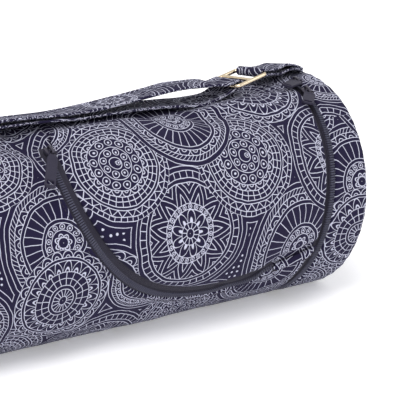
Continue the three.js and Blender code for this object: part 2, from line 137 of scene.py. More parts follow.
def smooth(low: float, high: float, value: float | np.ndarray) -> np.ndarray:
    """A soft step from 0 at low to 1 at high."""
    t = np.clip((np.asarray(value, float) - low) / (high - low), 0, 1)
    return t * t * (3 - 2 * t)


def within(rise: tuple[float, float], fall: tuple[float, float], value: np.ndarray) -> np.ndarray:
    """A soft hump: up from 0 to 1 over the first stretch and down again over the second."""
    return smooth(*rise, value) * (1 - smooth(*fall, value))


def ridge(away: np.ndarray, width: float) -> np.ndarray:
    """A soft ridge, 1 at its middle and nearly 0 at twice its width away."""
    return np.exp(-((away / width) ** 2))


def spline(points: np.ndarray, step: float) -> np.ndarray:
    """A smooth curve through points, in near even steps.

    Args:
        points: rows of points, of any width.
        step: the distance between the curve's points, measured on the first three columns.

    Returns:
        The curve's rows.
    """
    ends = np.vstack([2 * points[0] - points[1], points, 2 * points[-1] - points[-2]])
    gaps = np.linalg.norm(np.diff(ends[:, :3], axis=0), axis=1) ** 0.5 + 1e-6
    times = np.concatenate([[0], np.cumsum(gaps)])
    out = []
    for i in range(1, len(ends) - 2):
        p, t = ends[i - 1 : i + 3], times[i - 1 : i + 3]
        count = max(1, math.ceil(np.linalg.norm(p[2, :3] - p[1, :3]) / step))
        for x in np.linspace(t[1], t[2], count, endpoint=False):
            a = [lerp(p[k], p[k + 1], (x - t[k]) / (t[k + 1] - t[k])) for k in range(3)]
            b = [lerp(a[k], a[k + 1], (x - t[k]) / (t[k + 2] - t[k])) for k in range(2)]
            out.append(lerp(b[0], b[1], (x - t[1]) / (t[2] - t[1])))
    out.append(points[-1])
    return np.array(out)


@dataclass(frozen=True)
class Fold:
    """A long valley or ridge in the cloth, between two places on the bag."""

    along: float
    turn: float
    to_along: float
    to_turn: float
    width: float
    depth: float


FOLDS = (
    Fold(0.58, 92, 0.72, 108, 0.16, 0.028),
    Fold(0.5, 74, 0.6, 64, 0.08, 0.02),
    Fold(0.6, 64, 0.82, 46, 0.08, 0.018),
    Fold(0.26965, 62, 0.17965, 76, 0.07, 0.02),
    Fold(-0.1, 60, 0.14, 66, 0.09, 0.014),
    Fold(0.02, 12, 0.16, -20, 0.09, -0.014),
    Fold(0.2, -34, 0.5, -52, 0.08, -0.012),
    Fold(-0.75, 40, -0.35, 62, 0.1, 0.02),
    Fold(-0.7, 140, -0.2, 122, 0.1, 0.018),
    Fold(0.1, 150, 0.62, 128, 0.1, 0.016),
    Fold(0.7, 20, 0.84, 8, 0.08, 0.008),
)

CREASES = (
    Fold(0.44, 78, 0.52, 70, 0.026, 0.012),
    Fold(0.52, 70, 0.62, 66, 0.022, 0.01),
    Fold(0.64, 70, 0.78, 58, 0.03, -0.008),
    Fold(0.6, 60, 0.7, 66, 0.026, 0.008),
    Fold(0.2, 70, 0.34, 64, 0.02, 0.008),
    Fold(0.24, 60, 0.3, 46, 0.022, 0.006),
    Fold(0.16, 72, 0.2, 56, 0.02, 0.009),
    Fold(0.1, 68, 0.16, 58, 0.024, -0.007),
    Fold(-0.02, 70, 0.16, 74, 0.02, 0.008),
    Fold(0.06, 40, 0.13, 20, 0.03, -0.006),
    Fold(0.3, -28, 0.44, -42, 0.024, 0.006),
    Fold(0.46, -36, 0.62, -50, 0.022, 0.007),
    Fold(0.62, -30, 0.8, -44, 0.022, 0.006),
    Fold(0.7, -26, 0.84, -30, 0.02, 0.006),
    Fold(0.02, -30, 0.2, -48, 0.026, 0.005),
    Fold(-0.3, 30, -0.12, 48, 0.03, 0.006),
    Fold(-0.6, -10, -0.3, 10, 0.04, 0.006),
    Fold(-0.85, 60, -0.7, 20, 0.03, 0.006),
    Fold(-0.4, 110, -0.1, 128, 0.03, 0.007),
    Fold(0.3, 120, 0.5, 136, 0.03, 0.007),
    Fold(0.62, 112, 0.8, 124, 0.024, 0.008),
    Fold(-0.8, 170, -0.3, 190, 0.05, 0.006),
    Fold(0.1, 190, 0.6, 172, 0.05, 0.006),
)


PRINT_ROUND = 525.0


@dataclass(frozen=True)
class BagForm:
    """The bag's own shape in millimetres; turn is degrees round from the front, over the top."""

    length: float = 657
    width: float = 170
    rise: float = 164.4
    settle: float = 5
    cloth: float = 1.5
    clear: float = 0.3
    rim_curl: float = 5
    rim_lean: float = 0.09
    zip_from_rim: float = 35.6
    zip_lean: float = 0.215
    hinge_front: float = 86
    hinge_back: float = 118
    coil_width: float = 6
    coil_thick: float = 2.2
    tape_shown: float = 5
    tape_thick: float = 0.6
    pocket_length: float = 225
    corner_length: float = 137
    corner_turn: float = 83
    pocket_side_turn: float = 50
    pocket_swell: float = 7
    pocket_seat: float = 0.8
    side_shift: float = 4.178

    @property
    def half_width(self) -> float:
        """Half the bag's width."""
        return self.width / 2

    @property
    def half_rise(self) -> float:
        """Half the bag's height before it settles."""
        return self.rise / 2

    @property
    def rest_depth(self) -> float:
        """How far the flattened underside lies under the axis."""
        return self.half_rise - self.settle

    @property
    def top_level(self) -> float:
        """The height of the bag's top."""
        return self.half_rise + self.rest_depth

    @property
    def rim(self) -> float:
        """Half the length between the rims."""
        return self.length / 2

    @property
    def zip_at(self) -> float:
        """The end zip's middle line along the axis."""
        return self.rim - self.zip_from_rim

    @property
    def deg_per_mm(self) -> float:
        """Degrees of turn for each millimetre round the bag."""
        return 360 / (math.pi * (self.width + self.rise) / 2)

    @property
    def rest_turn(self) -> float:
        """How far below the front the flat underside begins."""
        return math.degrees(math.asin(self.rest_depth / self.half_rise))

    @property
    def slot_left(self) -> float:
        """Where the cloth left of the end zip ends."""
        return self.zip_at - self.coil_width / 2 - self.tape_shown

    @property
    def slot_right(self) -> float:
        """Where the cap's cloth begins."""
        return self.zip_at + self.coil_width / 2 + self.clear

    @property
    def pocket_side(self) -> float:
        """The pocket zip's left side along the axis."""
        return self.zip_at - self.pocket_length

    def _valleys(self, folds: Iterable[Fold], along: np.ndarray, turn: np.ndarray) -> np.ndarray:
        out = np.zeros(np.broadcast(along, turn).shape)
        for f in folds:
            x0, x1 = f.along * self.rim, f.to_along * self.rim
            t0, t1 = f.turn / self.deg_per_mm, f.to_turn / self.deg_per_mm
            around = ((turn - f.turn + 540) % 360 - 180 + f.turn) / self.deg_per_mm
            run = (x1 - x0) ** 2 + (t1 - t0) ** 2
            share = np.clip(((along - x0) * (x1 - x0) + (around - t0) * (t1 - t0)) / run, 0, 1)
            far = np.hypot(along - x0 - (x1 - x0) * share, around - t0 - (t1 - t0) * share)
            out -= f.depth * self.width * ridge(far, f.width * self.width)
        return out

    def lean(self, along: np.ndarray) -> np.ndarray:
        """Sideways travel of a section for each millimetre of height."""
        to_zip = self.zip_lean * np.clip(along / self.zip_at, 0, 1)
        past = (self.rim_lean - self.zip_lean) * np.clip((along - self.zip_at) / self.zip_from_rim, 0, 1)
        return np.where(along < 0, self.rim_lean * along / self.rim, to_zip + past)

    def skin(
        self,
        along: np.ndarray,
        turn: np.ndarray,
        out: np.ndarray | float = 0,
        fine: float = 0,
    ) -> np.ndarray:
        """Points of the bag's cloth in the row frame.

        Args:
            along: places along the axis, in millimetres.
            turn: degrees round from the front.
            out: how far out from the cloth's face.
            fine: the share of the small creases that shows.

        Returns:
            Points in metres, with three values in the last axis.
        """
        along, turn, out = np.broadcast_arrays(*(np.asarray(v, float) for v in (along, turn, out)))
        lift = out + self._valleys(FOLDS, along, turn)
        if fine:
            lift = lift + fine * self._valleys(CREASES, along, turn)
        rad = np.radians(turn)
        level = np.maximum((self.half_rise + lift) * np.sin(rad), -self.rest_depth + np.maximum(0, -out))
        front = (self.half_width + lift) * np.cos(rad)
        x = along + self.lean(along) * level
        return np.stack([x, -front + self.side_shift, level + self.rest_depth], -1) * MM

    def flat(self, along: np.ndarray, turn: np.ndarray) -> np.ndarray:
        """The same places on the flat cloth before it was sewn, in millimetres."""
        along, turn = np.broadcast_arrays(np.asarray(along, float), np.asarray(turn, float))
        x = along + self.lean(along) * np.maximum(self.half_rise * np.sin(np.radians(turn)), -self.rest_depth)
        return np.stack([x, turn * PRINT_ROUND / 360], -1)

    def on_top(self, along: float, side: float, rise: float) -> np.ndarray:
        """A point over the bag's top, in metres."""
        return np.array([along, side + self.side_shift, self.top_level + rise]) * MM


FORM = BagForm()


@dataclass(frozen=True)
class Ring:
    """One ring of a medallion, from its start to its end as shares of the radius."""

    start: float
    end: float
    band: Band
    count: int


@dataclass(frozen=True)
class Medallion:
    """A round figure of the print, placed on the repeat in millimetres."""

    across: float
    up: float
    radius: float
    kind: int


MEDALLION_KINDS: tuple[tuple[Ring, ...], ...] = (
    (
        Ring(0, 0.07, Band.PLAIN, 1),
        Ring(0.07, 0.17, Band.DASHES, 12),
        Ring(0.17, 0.36, Band.PETALS, 9),
        Ring(0.36, 0.45, Band.BEADS, 24),
        Ring(0.45, 0.76, Band.CHEVRONS, 11),
        Ring(0.76, 0.82, Band.PLAIN, 1),
        Ring(0.82, 0.93, Band.DASHES, 46),
        Ring(0.93, 1, Band.PLAIN, 1),
    ),
    (
        Ring(0, 0.08, Band.PLAIN, 1),
        Ring(0.08, 0.2, Band.SCALLOPS, 7),
        Ring(0.2, 0.31, Band.BEADS, 13),
        Ring(0.31, 0.37, Band.PLAIN, 1),
        Ring(0.37, 0.67, Band.DASHES, 28),
        Ring(0.67, 0.73, Band.PLAIN, 1),
        Ring(0.73, 0.83, Band.SCALLOPS, 22),
        Ring(0.83, 0.92, Band.HATCH, 1),
        Ring(0.92, 1, Band.PLAIN, 1),
    ),
    (
        Ring(0, 0.11, Band.BEADS, 1),
        Ring(0.11, 0.3, Band.BEADS, 8),
        Ring(0.3, 0.5, Band.BEADS, 13),
        Ring(0.5, 0.6, Band.SCALLOPS, 18),
        Ring(0.6, 0.76, Band.LADDER, 34),
        Ring(0.76, 0.81, Band.PLAIN, 1),
        Ring(0.81, 0.92, Band.CHEVRONS, 30),
        Ring(0.92, 1, Band.DASHES, 54),
    ),
    (
        Ring(0, 0.09, Band.PLAIN, 1),
        Ring(0.09, 0.24, Band.DASHES, 16),
        Ring(0.24, 0.31, Band.PLAIN, 1),
        Ring(0.31, 0.58, Band.LADDER, 20),
        Ring(0.58, 0.8, Band.PETALS, 20),
        Ring(0.8, 0.86, Band.PLAIN, 1),
        Ring(0.86, 1, Band.SCALLOPS, 24),
    ),
)

MEDALLIONS = (
    Medallion(62, 20, 47, 1),
    Medallion(150, 6, 43, 3),
    Medallion(222, 48, 45, 0),
    Medallion(18, 92, 41, 2),
    Medallion(104, 82, 44, 0),
    Medallion(176, 104, 40, 2),
    Medallion(242, 134, 43, 1),
    Medallion(60, 152, 38, 3),
    Medallion(132, 158, 34, 1),
)
REPEAT_ACROSS = 262.0
REPEAT_UP = PRINT_ROUND / 3


class Graph:
    """A material's nodes, wired by plain calls."""

    def __init__(self, name: str) -> None:
        """Starts a material with a bare shader."""
        self.material = bpy.data.materials.new(name)
        self.material.use_nodes = True
        self.tree = self.material.node_tree
        self.tree.nodes.clear()
        self.shader = self.node("ShaderNodeBsdfPrincipled")
        self.output = self.node("ShaderNodeOutputMaterial")
        self.link(self.shader.outputs["BSDF"], self.output.inputs["Surface"])

    def node(self, kind: str, **fields: object) -> bpy.types.Node:
        """A new node with those fields."""
        made = self.tree.nodes.new(kind)
        for key, value in fields.items():
            setattr(made, key, value)
        return made

    def link(self, value: Value | Sequence[float], socket: Socket) -> None:
        """Wires a socket, or sets it to a number or colour."""
        if isinstance(value, bpy.types.NodeSocket):
            self.tree.links.new(value, socket)
        else:
            socket.default_value = value

    def math(self, operation: str, *values: Value) -> Socket:
        """The result of one math step."""
        made = self.node("ShaderNodeMath", operation=operation)
        for value, socket in zip(values, made.inputs):
            self.link(value, socket)
        return made.outputs[0]

    def add(self, a: Value, b: Value) -> Socket:
        """Both numbers together."""
        return self.math("ADD", a, b)

    def sub(self, a: Value, b: Value) -> Socket:
        """The first number less the second."""
        return self.math("SUBTRACT", a, b)

    def mul(self, a: Value, b: Value) -> Socket:
        """One number times the other."""
        return self.math("MULTIPLY", a, b)

    def div(self, a: Value, b: Value) -> Socket:
        """The first number over the second."""
        return self.math("DIVIDE", a, b)

    def least(self, a: Value, b: Value) -> Socket:
        """The smaller number."""
        return self.math("MINIMUM", a, b)

    def size(self, a: Value) -> Socket:
        """A number without its sign."""
        return self.math("ABSOLUTE", a)

    def span(self, a: Value, b: Value) -> Socket:
        """The length of the slope over two sides."""
        return self.math("SQRT", self.add(self.mul(a, a), self.mul(b, b)))

    def spaced(self, value: Value, gap: float) -> Socket:
        """How far a number is from the nearest of even steps."""
        return self.math("PINGPONG", value, gap / 2)

    def vector(self, operation: str, *values: object) -> Socket:
        """The result of one vector step; a length is a number."""
        made = self.node("ShaderNodeVectorMath", operation=operation)
        for value, socket in zip(values, made.inputs):
            self.link(value, socket)
        return made.outputs["Value" if operation == "LENGTH" else "Vector"]

    def blend(self, factor: Value, a: object, b: object, kind: str = "FLOAT") -> Socket:
        """Mixes two numbers, vectors or colours."""
        made = self.node("ShaderNodeMix", data_type=kind)
        place = {"FLOAT": (2, 3, 0), "VECTOR": (4, 5, 1), "RGBA": (6, 7, 2)}[kind]
        self.link(factor, made.inputs[0])
        self.link(a, made.inputs[place[0]])
        self.link(b, made.inputs[place[1]])
        return made.outputs[place[2]]

    def split(self, vector: Socket) -> tuple[Socket, Socket, Socket]:
        """A vector's three numbers."""
        made = self.node("ShaderNodeSeparateXYZ")
        self.link(vector, made.inputs[0])
        return made.outputs[0], made.outputs[1], made.outputs[2]

    def uv(self, scale: float) -> Socket:
        """The piece's own map, times a scale."""
        made = self.node("ShaderNodeUVMap", uv_map="cut")
        return self._scaled(made.outputs[0], scale)

    def _scaled(self, socket: Socket, scale: float) -> Socket:
        made = self.node("ShaderNodeVectorMath", operation="SCALE")
        self.link(socket, made.inputs[0])
        made.inputs["Scale"].default_value = scale
        return made.outputs["Vector"]

    def place(self, scale: float = 1.0) -> Socket:
        """Object coordinates, times a scale."""
        made = self.node("ShaderNodeTexCoord")
        return self._scaled(made.outputs["Object"], scale)

    def cloud(self, at: Socket, scale: float, detail: float = 2, rough: float = 0.5) -> Socket:
        """Soft noise from 0 to 1."""
        made = self.node("ShaderNodeTexNoise")
        self.link(at, made.inputs["Vector"])
        made.inputs["Scale"].default_value = scale
        made.inputs["Detail"].default_value = detail
        made.inputs["Roughness"].default_value = rough
        return made.outputs["Fac"]

    def step(self, value: Socket, low: float, high: float) -> Socket:
        """A straight ramp from 0 at low to 1 at high, or down again where low is above high."""
        made = self.node("ShaderNodeMapRange", clamp=True)
        self.link(value, made.inputs["Value"])
        made.inputs["From Min"].default_value = low
        made.inputs["From Max"].default_value = high
        return made.outputs["Result"]

    def surface(self, **values: Value | Sequence[float]) -> None:
        """Sets or wires the shader's inputs; an underscore stands for a space."""
        for name, value in values.items():
            self.link(value, self.shader.inputs[name.replace("_", " ")])

    def bump(self, height: Socket, distance: float) -> None:
        """Gives the shader a relief of that height in metres."""
        made = self.node("ShaderNodeBump")
        made.inputs["Distance"].default_value = distance
        made.inputs["Strength"].default_value = 1.0
        self.link(height, made.inputs["Height"])
        self.link(made.outputs["Normal"], self.shader.inputs["Normal"])


@dataclass(frozen=True)
class PrintedCloth:
    """Navy cotton with a fine pale print of overlapping medallions."""

    ground: tuple[float, float, float] = (0.011, 0.0085, 0.03)
    ink: tuple[float, float, float] = (0.66, 0.67, 0.82)
    line: float = 0.26
    soft: float = 0.2
    weave: float = 0.62

    def _lookup(self, g: Graph, radius: Socket, rings: Sequence[Ring]) -> bpy.types.Node:
        ramp = g.node("ShaderNodeValToRGB")
        ramp.color_ramp.interpolation = "CONSTANT"
        stops = ramp.color_ramp.elements
        while len(stops) < len(rings):
            stops.new(1.0)
        for stop, ring in zip(stops, rings):
            stop.position = ring.start
            stop.color = (ring.start, ring.end, ring.count / 100, ring.band.value / 10)
        g.link(radius, ramp.inputs[0])
        return ramp

    def _choose(self, g: Graph, at: Socket) -> tuple[Socket, Socket]:
        """Finds the medallion that lies on top.

        Args:
            g: the material's graph.
            at: the place on the cloth, in millimetres.

        Returns:
            The place within that medallion with its kind as the third number, and the way to the
            nearest medallion's edge, below nothing inside one.
        """
        chosen: Socket | None = None
        edge: Socket | None = None
        half = (REPEAT_ACROSS / 2, REPEAT_UP / 2)
        for m in MEDALLIONS:
            low = (m.across - half[0], m.up - half[1], -1.0)
            high = (m.across + half[0], m.up + half[1], 1.0)
            near = g.vector("WRAP", at, high, low)
            local = g.vector("SUBTRACT", near, (m.across, m.up, 0.0))
            far = g.vector("LENGTH", local)
            beyond = g.sub(far, m.radius)
            inside = g.math("LESS_THAN", far, m.radius)
            tagged = g.vector("ADD", local, (0.0, 0.0, m.radius + 1000.0 * m.kind))
            chosen = tagged if chosen is None else g.blend(inside, chosen, tagged, "VECTOR")
            edge = beyond if edge is None else g.least(edge, beyond)
        return chosen, edge

    def _figure(self, g: Graph, at: Socket) -> Socket:
        """How far each place is from the nearest printed line, in millimetres.

        Args:
            g: the material's graph.
            at: the place on the cloth, in millimetres.

        Returns:
            The distance.
        """
        chosen, edge = self._choose(g, at)
        x, y, tag = g.split(chosen)
        kind = g.math("FLOOR", g.div(tag, 1000.0))
        size = g.sub(tag, g.mul(kind, 1000.0))
        far = g.span(x, y)
        share = g.div(far, size)
        ramps = [self._lookup(g, share, rings) for rings in MEDALLION_KINDS]
        colour, band = ramps[0].outputs["Color"], ramps[0].outputs["Alpha"]
        for i, ramp in enumerate(ramps[1:], 1):
            is_kind = g.math("COMPARE", kind, float(i), 0.5)
            colour = g.blend(is_kind, colour, ramp.outputs["Color"], "RGBA")
            band = g.blend(is_kind, band, ramp.outputs["Alpha"])
        parts = g.node("ShaderNodeSeparateColor")
        g.link(colour, parts.inputs[0])
        start, end, count = parts.outputs[0], parts.outputs[1], g.mul(parts.outputs[2], 100.0)
        angle = g.div(g.math("ARCTAN2", y, x), 2 * math.pi)
        cell = g.sub(g.math("FRACT", g.mul(g.add(angle, 0.5), count)), 0.5)
        wide = g.div(g.mul(far, 2 * math.pi), count)
        px = g.size(g.mul(cell, wide))
        py = g.mul(g.sub(share, start), size)
        tall = g.mul(g.sub(end, start), size)
        border = g.least(py, g.sub(tall, py))
        middle = g.sub(py, g.mul(tall, 0.5))
        small = g.least(wide, tall)
        arc = g.span(px, py)
        scallops = g.least(
            g.size(g.sub(arc, g.mul(wide, 0.48))),
            g.size(g.sub(arc, g.mul(wide, 0.2))),
        )
        round_at = g.span(px, middle)
        beads = g.least(
            g.size(g.sub(round_at, g.mul(small, 0.36))),
            g.sub(round_at, g.mul(small, 0.08)),
        )
        slope = g.div(px, g.mul(wide, 0.5))
        steep = g.div(wide, g.span(wide, g.mul(tall, 2.0)))
        tooth = g.sub(py, g.mul(tall, g.sub(1.0, slope)))
        chevrons = g.spaced(g.mul(tooth, steep), 3.3)
        bow = g.sub(1.0, g.mul(slope, slope))
        petal = g.mul(g.sub(py, g.mul(tall, bow)), steep)
        petals = g.least(g.size(petal), g.size(g.add(petal, 2.4)))
        ladder = g.least(px, g.size(middle))
        hatch = g.spaced(g.add(g.mul(angle, 260.0), py), 3.4)
        distances = {
            Band.DASHES: px,
            Band.SCALLOPS: scallops,
            Band.BEADS: beads,
            Band.CHEVRONS: chevrons,
            Band.PETALS: petals,
            Band.LADDER: ladder,
            Band.HATCH: hatch,
        }
        lines: Value = 5.0
        for ornament, distance in distances.items():
            is_band = g.math("COMPARE", band, ornament.value / 10, 0.05)
            lines = g.blend(is_band, lines, distance)
        figure = g.least(border, lines)
        echoes = g.spaced(edge, 4.0)
        dots = g.sub(g.vector("LENGTH", self._lattice(g, at)), 0.7)
        deep = g.math("GREATER_THAN", edge, 6.9)
        outside = g.blend(deep, echoes, dots)
        return g.blend(g.math("GREATER_THAN", edge, 0.0), figure, outside)

    def _lattice(self, g: Graph, at: Socket) -> Socket:
        """Places around the nearest dot of a small lattice."""
        return g.vector("WRAP", at, (2.4, 2.4, 1.0), (-2.4, -2.4, -1.0))

    def make(self) -> bpy.types.Material:
        """The cloth's material."""
        g = Graph("printed_cotton")
        flat = g.uv(100.0)
        sway = g.cloud(flat, 0.06).node.outputs["Color"]
        shift = g.vector("MULTIPLY", g.vector("SUBTRACT", sway, (0.5, 0.5, 0.5)), (3.0, 3.0, 0.0))
        at = g.vector("ADD", flat, shift)
        distance = self._figure(g, at)
        uneven = g.mul(g.sub(g.cloud(flat, 0.9), 0.5), 0.24)
        ink = g.step(g.add(distance, uneven), self.line + self.soft / 2, self.line - self.soft / 2)
        wear = g.cloud(flat, 0.05, 3)
        ground = g.blend(wear, (*self.ground, 1), tuple(1.35 * c for c in self.ground) + (1,), "RGBA")
        pale = g.blend(g.cloud(flat, 0.5, 3), (*(0.78 * c for c in self.ink), 1), (*self.ink, 1), "RGBA")
        colour = g.blend(ink, ground, pale, "RGBA")
        u, v, _ = g.split(flat)
        turns = 2 * math.pi / self.weave
        warp = g.math("SINE", g.mul(u, turns))
        weft = g.math("SINE", g.mul(v, turns))
        twill = g.math("SINE", g.mul(g.add(u, v), turns / 2))
        threads = g.add(g.mul(warp, weft), g.mul(twill, 0.5))
        shade = g.math("MULTIPLY_ADD", threads, 0.07, 1.0)
        tone = g.node("ShaderNodeHueSaturation")
        g.link(shade, tone.inputs["Value"])
        g.link(colour, tone.inputs["Color"])
        g.surface(Base_Color=tone.outputs[0], Roughness=0.86, Specular_IOR_Level=0.12)
        g.surface(Sheen_Weight=0.04, Sheen_Tint=(0.75, 0.75, 1.0, 1))
        slubs = g.mul(g.cloud(flat, 0.35, 4, 0.6), 1.6)
        g.bump(g.add(g.mul(threads, 0.35), slubs), 0.00022)
        return g.material


@dataclass(frozen=True)
class WovenTape:
    """Dark slate tape with fine ribs along its run."""

    colour: tuple[float, float, float] = (0.017, 0.0145, 0.031)
    rib: float = 0.55

    def make(self) -> bpy.types.Material:
        """The tape's material."""
        g = Graph("woven_tape")
        flat = g.uv(100.0)
        u, v, _ = g.split(flat)
        turns = 2 * math.pi / self.rib
        ribs = g.math("SINE", g.mul(u, turns))
        picks = g.math("SINE", g.mul(v, turns * 1.4))
        weave = g.mul(g.add(ribs, picks), 0.5)
        dark, pale = ((*(share * c for c in self.colour), 1) for share in (0.8, 1.25))
        tone = g.blend(g.cloud(flat, 0.3, 3), dark, pale, "RGBA")
        g.surface(Base_Color=tone, Roughness=0.7, Specular_IOR_Level=0.35, Sheen_Weight=0.05)
        g.bump(weave, 0.00012)
        return g.material


@dataclass(frozen=True)
class PlainFinish:
    """A hard finish with a slightly uneven colour and gloss."""

    name: str
    colour: tuple[float, float, float]
    deep: tuple[float, float, float]
    roughness: float
    metallic: float = 0.0
    coat: float = 0.0
    grain: float = 900.0
    relief: float = 0.00003

    def make(self) -> bpy.types.Material:
        """The finish's material."""
        g = Graph(self.name)
        at = g.place()
        patch = g.cloud(at, self.grain / 12, 3)
        tone = g.blend(patch, (*self.deep, 1), (*self.colour, 1), "RGBA")
        gloss = g.math("MULTIPLY_ADD", g.cloud(at, self.grain / 5, 3), 0.16, self.roughness - 0.08)
        g.surface(Base_Color=tone, Roughness=gloss, Metallic=self.metallic, Coat_Weight=self.coat)
        g.surface(Specular_IOR_Level=0.5 if self.metallic else 0.22)
        g.bump(g.cloud(at, self.grain, 2), self.relief)
        return g.material


FINISHES = {
    Slot.GOLD: PlainFinish("pale_gold", (0.86, 0.74, 0.56), (0.72, 0.57, 0.38), 0.2, metallic=1.0),
    Slot.COIL: PlainFinish("coil_nylon", (0.075, 0.076, 0.115), (0.048, 0.048, 0.078), 0.3),
    Slot.METAL: PlainFinish(
        "lacquered_metal", (0.06, 0.054, 0.08), (0.036, 0.032, 0.052), 0.32, metallic=0.5, coat=0.2
    ),
    Slot.RUBBER: PlainFinish(
        "soft_rubber", (0.026, 0.023, 0.045), (0.018, 0.016, 0.033), 0.45, grain=1600, relief=0.00006
    ),
}


class Wardrobe:
    """All finishes, made once."""

    def __init__(self) -> None:
        """Makes every material."""
        self.made = {slot: finish.make() for slot, finish in FINISHES.items()}
        self.made[Slot.CLOTH] = PrintedCloth().make()
        self.made[Slot.TAPE] = WovenTape().make()

    def dress(self, piece: bpy.types.Object, slot: Slot, replaces: Sequence[str] = ()) -> bpy.types.Object:
        """Gives a piece its finish and its place on the frame.

        Args:
            piece: the finished object.
            slot: the record's slot.
            replaces: the solids that it stands for.

        Returns:
            The piece.
        """
        piece.data.materials.clear()
        piece.data.materials.append(self.made[slot])
        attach(piece, "root")
        if replaces:
            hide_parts(*replaces)
        log.info("%s: %d faces", piece.name, len(piece.data.polygons))
        return piece


def pick(*pieces: bpy.types.Object) -> None:
    """Selects just these pieces and makes the first one active."""
    for piece in bpy.context.view_layer.objects:
        piece.select_set(piece in pieces)
    if pieces:
        bpy.context.view_layer.objects.active = pieces[0]


@contextmanager
def editing() -> Iterator[None]:
    """Opens the active mesh for editing, with all of it selected."""
    bpy.ops.object.mode_set(mode="EDIT")
    bpy.ops.mesh.select_all(action="SELECT")
    yield
    bpy.ops.object.mode_set(mode="OBJECT")


def settle_size() -> None:
    """Puts the active object's place and scale into its mesh."""
    bpy.ops.object.transform_apply(location=True, rotation=True, scale=True)


def weld() -> None:
    """Joins the open mesh's doubled points and turns its faces outwards."""
    bpy.ops.mesh.select_all(action="SELECT")
    bpy.ops.mesh.remove_doubles(threshold=1e-5)
    bpy.ops.mesh.normals_make_consistent(inside=False)


def draw_out(x: float, y: float, z: float) -> None:
    """Extrudes what is selected in the open mesh by millimetres."""
    bpy.ops.mesh.extrude_region_move(TRANSFORM_OT_translate={"value": (x * MM, y * MM, z * MM)})


def quarter_bend(steps: int, centre: Sequence[float], axis: Sequence[float]) -> None:
    """Extrudes what is selected in the open mesh round a corner, about a place in millimetres."""
    place = tuple(c * MM for c in centre)
    bpy.ops.mesh.spin(steps=steps, angle=-math.pi / 2, center=place, axis=axis)


def link_mesh(
    name: str,
    points: np.ndarray,
    faces: Sequence[Sequence[int]],
    uvs: np.ndarray | None = None,
) -> bpy.types.Object:
    """Makes an object from points and faces.

    Args:
        name: the piece's name.
        points: rows of points in metres.
        faces: each face's point numbers.
        uvs: places on the flat cloth in millimetres for each corner of each face, in order.

    Returns:
        The new object.
    """
    mesh = bpy.data.meshes.new(name)
    rows = np.asarray(points, float).reshape(-1, 3).tolist()
    mesh.from_pydata(rows, [], [tuple(map(int, face)) for face in faces])
    mesh.update()
    if uvs is not None:
        layer = mesh.uv_layers.new(name="cut")
        layer.data.foreach_set("uv", (np.asarray(uvs, float) / 100.0).astype(np.float32).ravel())
    mesh.polygons.foreach_set("use_smooth", [True] * len(mesh.polygons))
    made = bpy.data.objects.new(name, mesh)
    bpy.context.scene.collection.objects.link(made)
    return made


def cloth_grid(
    name: str,
    points: np.ndarray,
    flat: np.ndarray,
    keep: Callable[[int, int], bool] | None = None,
    shift: Callable[[int, int], tuple[float, float]] | None = None,
    close: bool = False,
) -> bpy.types.Object:
    """Makes a sheet from a grid of points.

    Args:
        name: the piece's name.
        points: the grid, rows by columns by three, in metres.
        flat: the same grid on the flat cloth, in millimetres.
        keep: tells which cells are there.
        shift: moves a cell's print, where another cut of cloth begins.
        close: joins the last column to the first.

    Returns:
        The sheet.
    """
    rows, columns = points.shape[:2]
    across = columns - 1 if close else columns
    faces, uvs = [], []
    for i in range(rows - 1):
        for j in range(columns - 1):
            if keep and not keep(i, j):
                continue
            right = (j + 1) % across if close else j + 1
            faces.append((i * across + j, i * across + right, (i + 1) * across + right, (i + 1) * across + j))
            move = np.array(shift(i, j)) if shift else 0.0
            uvs += [flat[i + up, j + side] + move for up, side in ((0, 0), (0, 1), (1, 1), (1, 0))]
    return link_mesh(name, points[:, :across], faces, np.array(uvs))


def tidy(piece: bpy.types.Object, outward: bool = True) -> bpy.types.Object:
    """Drops loose points and turns the faces outwards.

    Args:
        piece: a mesh object.
        outward: whether to work out the faces' directions again.

    Returns:
        The piece.
    """
    pick(piece)
    with editing():
        bpy.ops.mesh.remove_doubles(threshold=1e-6)
        bpy.ops.mesh.delete_loose()
        bpy.ops.mesh.select_all(action="SELECT")
        if outward:
            bpy.ops.mesh.normals_make_consistent(inside=False)
    return piece


def apply_modifier(piece: bpy.types.Object, kind: str, **fields: object) -> None:
    """Adds a modifier with those fields and applies it."""
    pick(piece)
    made = piece.modifiers.new(kind.lower(), kind)
    for key, value in fields.items():
        setattr(made, key, value)
    bpy.ops.object.modifier_apply(modifier=made.name)


def round_edges(piece: bpy.types.Object, width: float, degrees: float) -> None:
    """Rounds the edges sharper than an angle, by millimetres."""
    limit = math.radians(degrees)
    apply_modifier(piece, "BEVEL", width=width * MM, segments=2, limit_method="ANGLE", angle_limit=limit)


def thicken(piece: bpy.types.Object, thickness: float) -> bpy.types.Object:
    """Gives a sheet a wall on its inner side, in millimetres."""
    apply_modifier(piece, "SOLIDIFY", thickness=thickness * MM, offset=-1.0, use_rim=True)
    piece.data.polygons.foreach_set("use_smooth", [True] * len(piece.data.polygons))
    return piece


def sheet(name: str, points: np.ndarray, flat: np.ndarray, wall: float, **cells: object) -> bpy.types.Object:
    """Makes a sheet with a wall.

    Args:
        name: the piece's name.
        points: the grid of points in metres.
        flat: the same grid on the flat cloth, in millimetres.
        wall: the wall in millimetres.
        cells: what cloth_grid is told about the grid's cells.

    Returns:
        The finished piece.
    """
    return thicken(tidy(cloth_grid(name, points, flat, **cells), outward=False), wall)


def smooth_by_angle(piece: bpy.types.Object, degrees: float) -> bpy.types.Object:
    """Shades the faces smooth up to an angle."""
    pick(piece)
    bpy.ops.object.shade_smooth_by_angle(angle=math.radians(degrees))
    return piece


def directions(rows: np.ndarray) -> np.ndarray:
    """Rows or a single row scaled to a length of one."""
    return rows / np.linalg.norm(rows, axis=-1, keepdims=True)


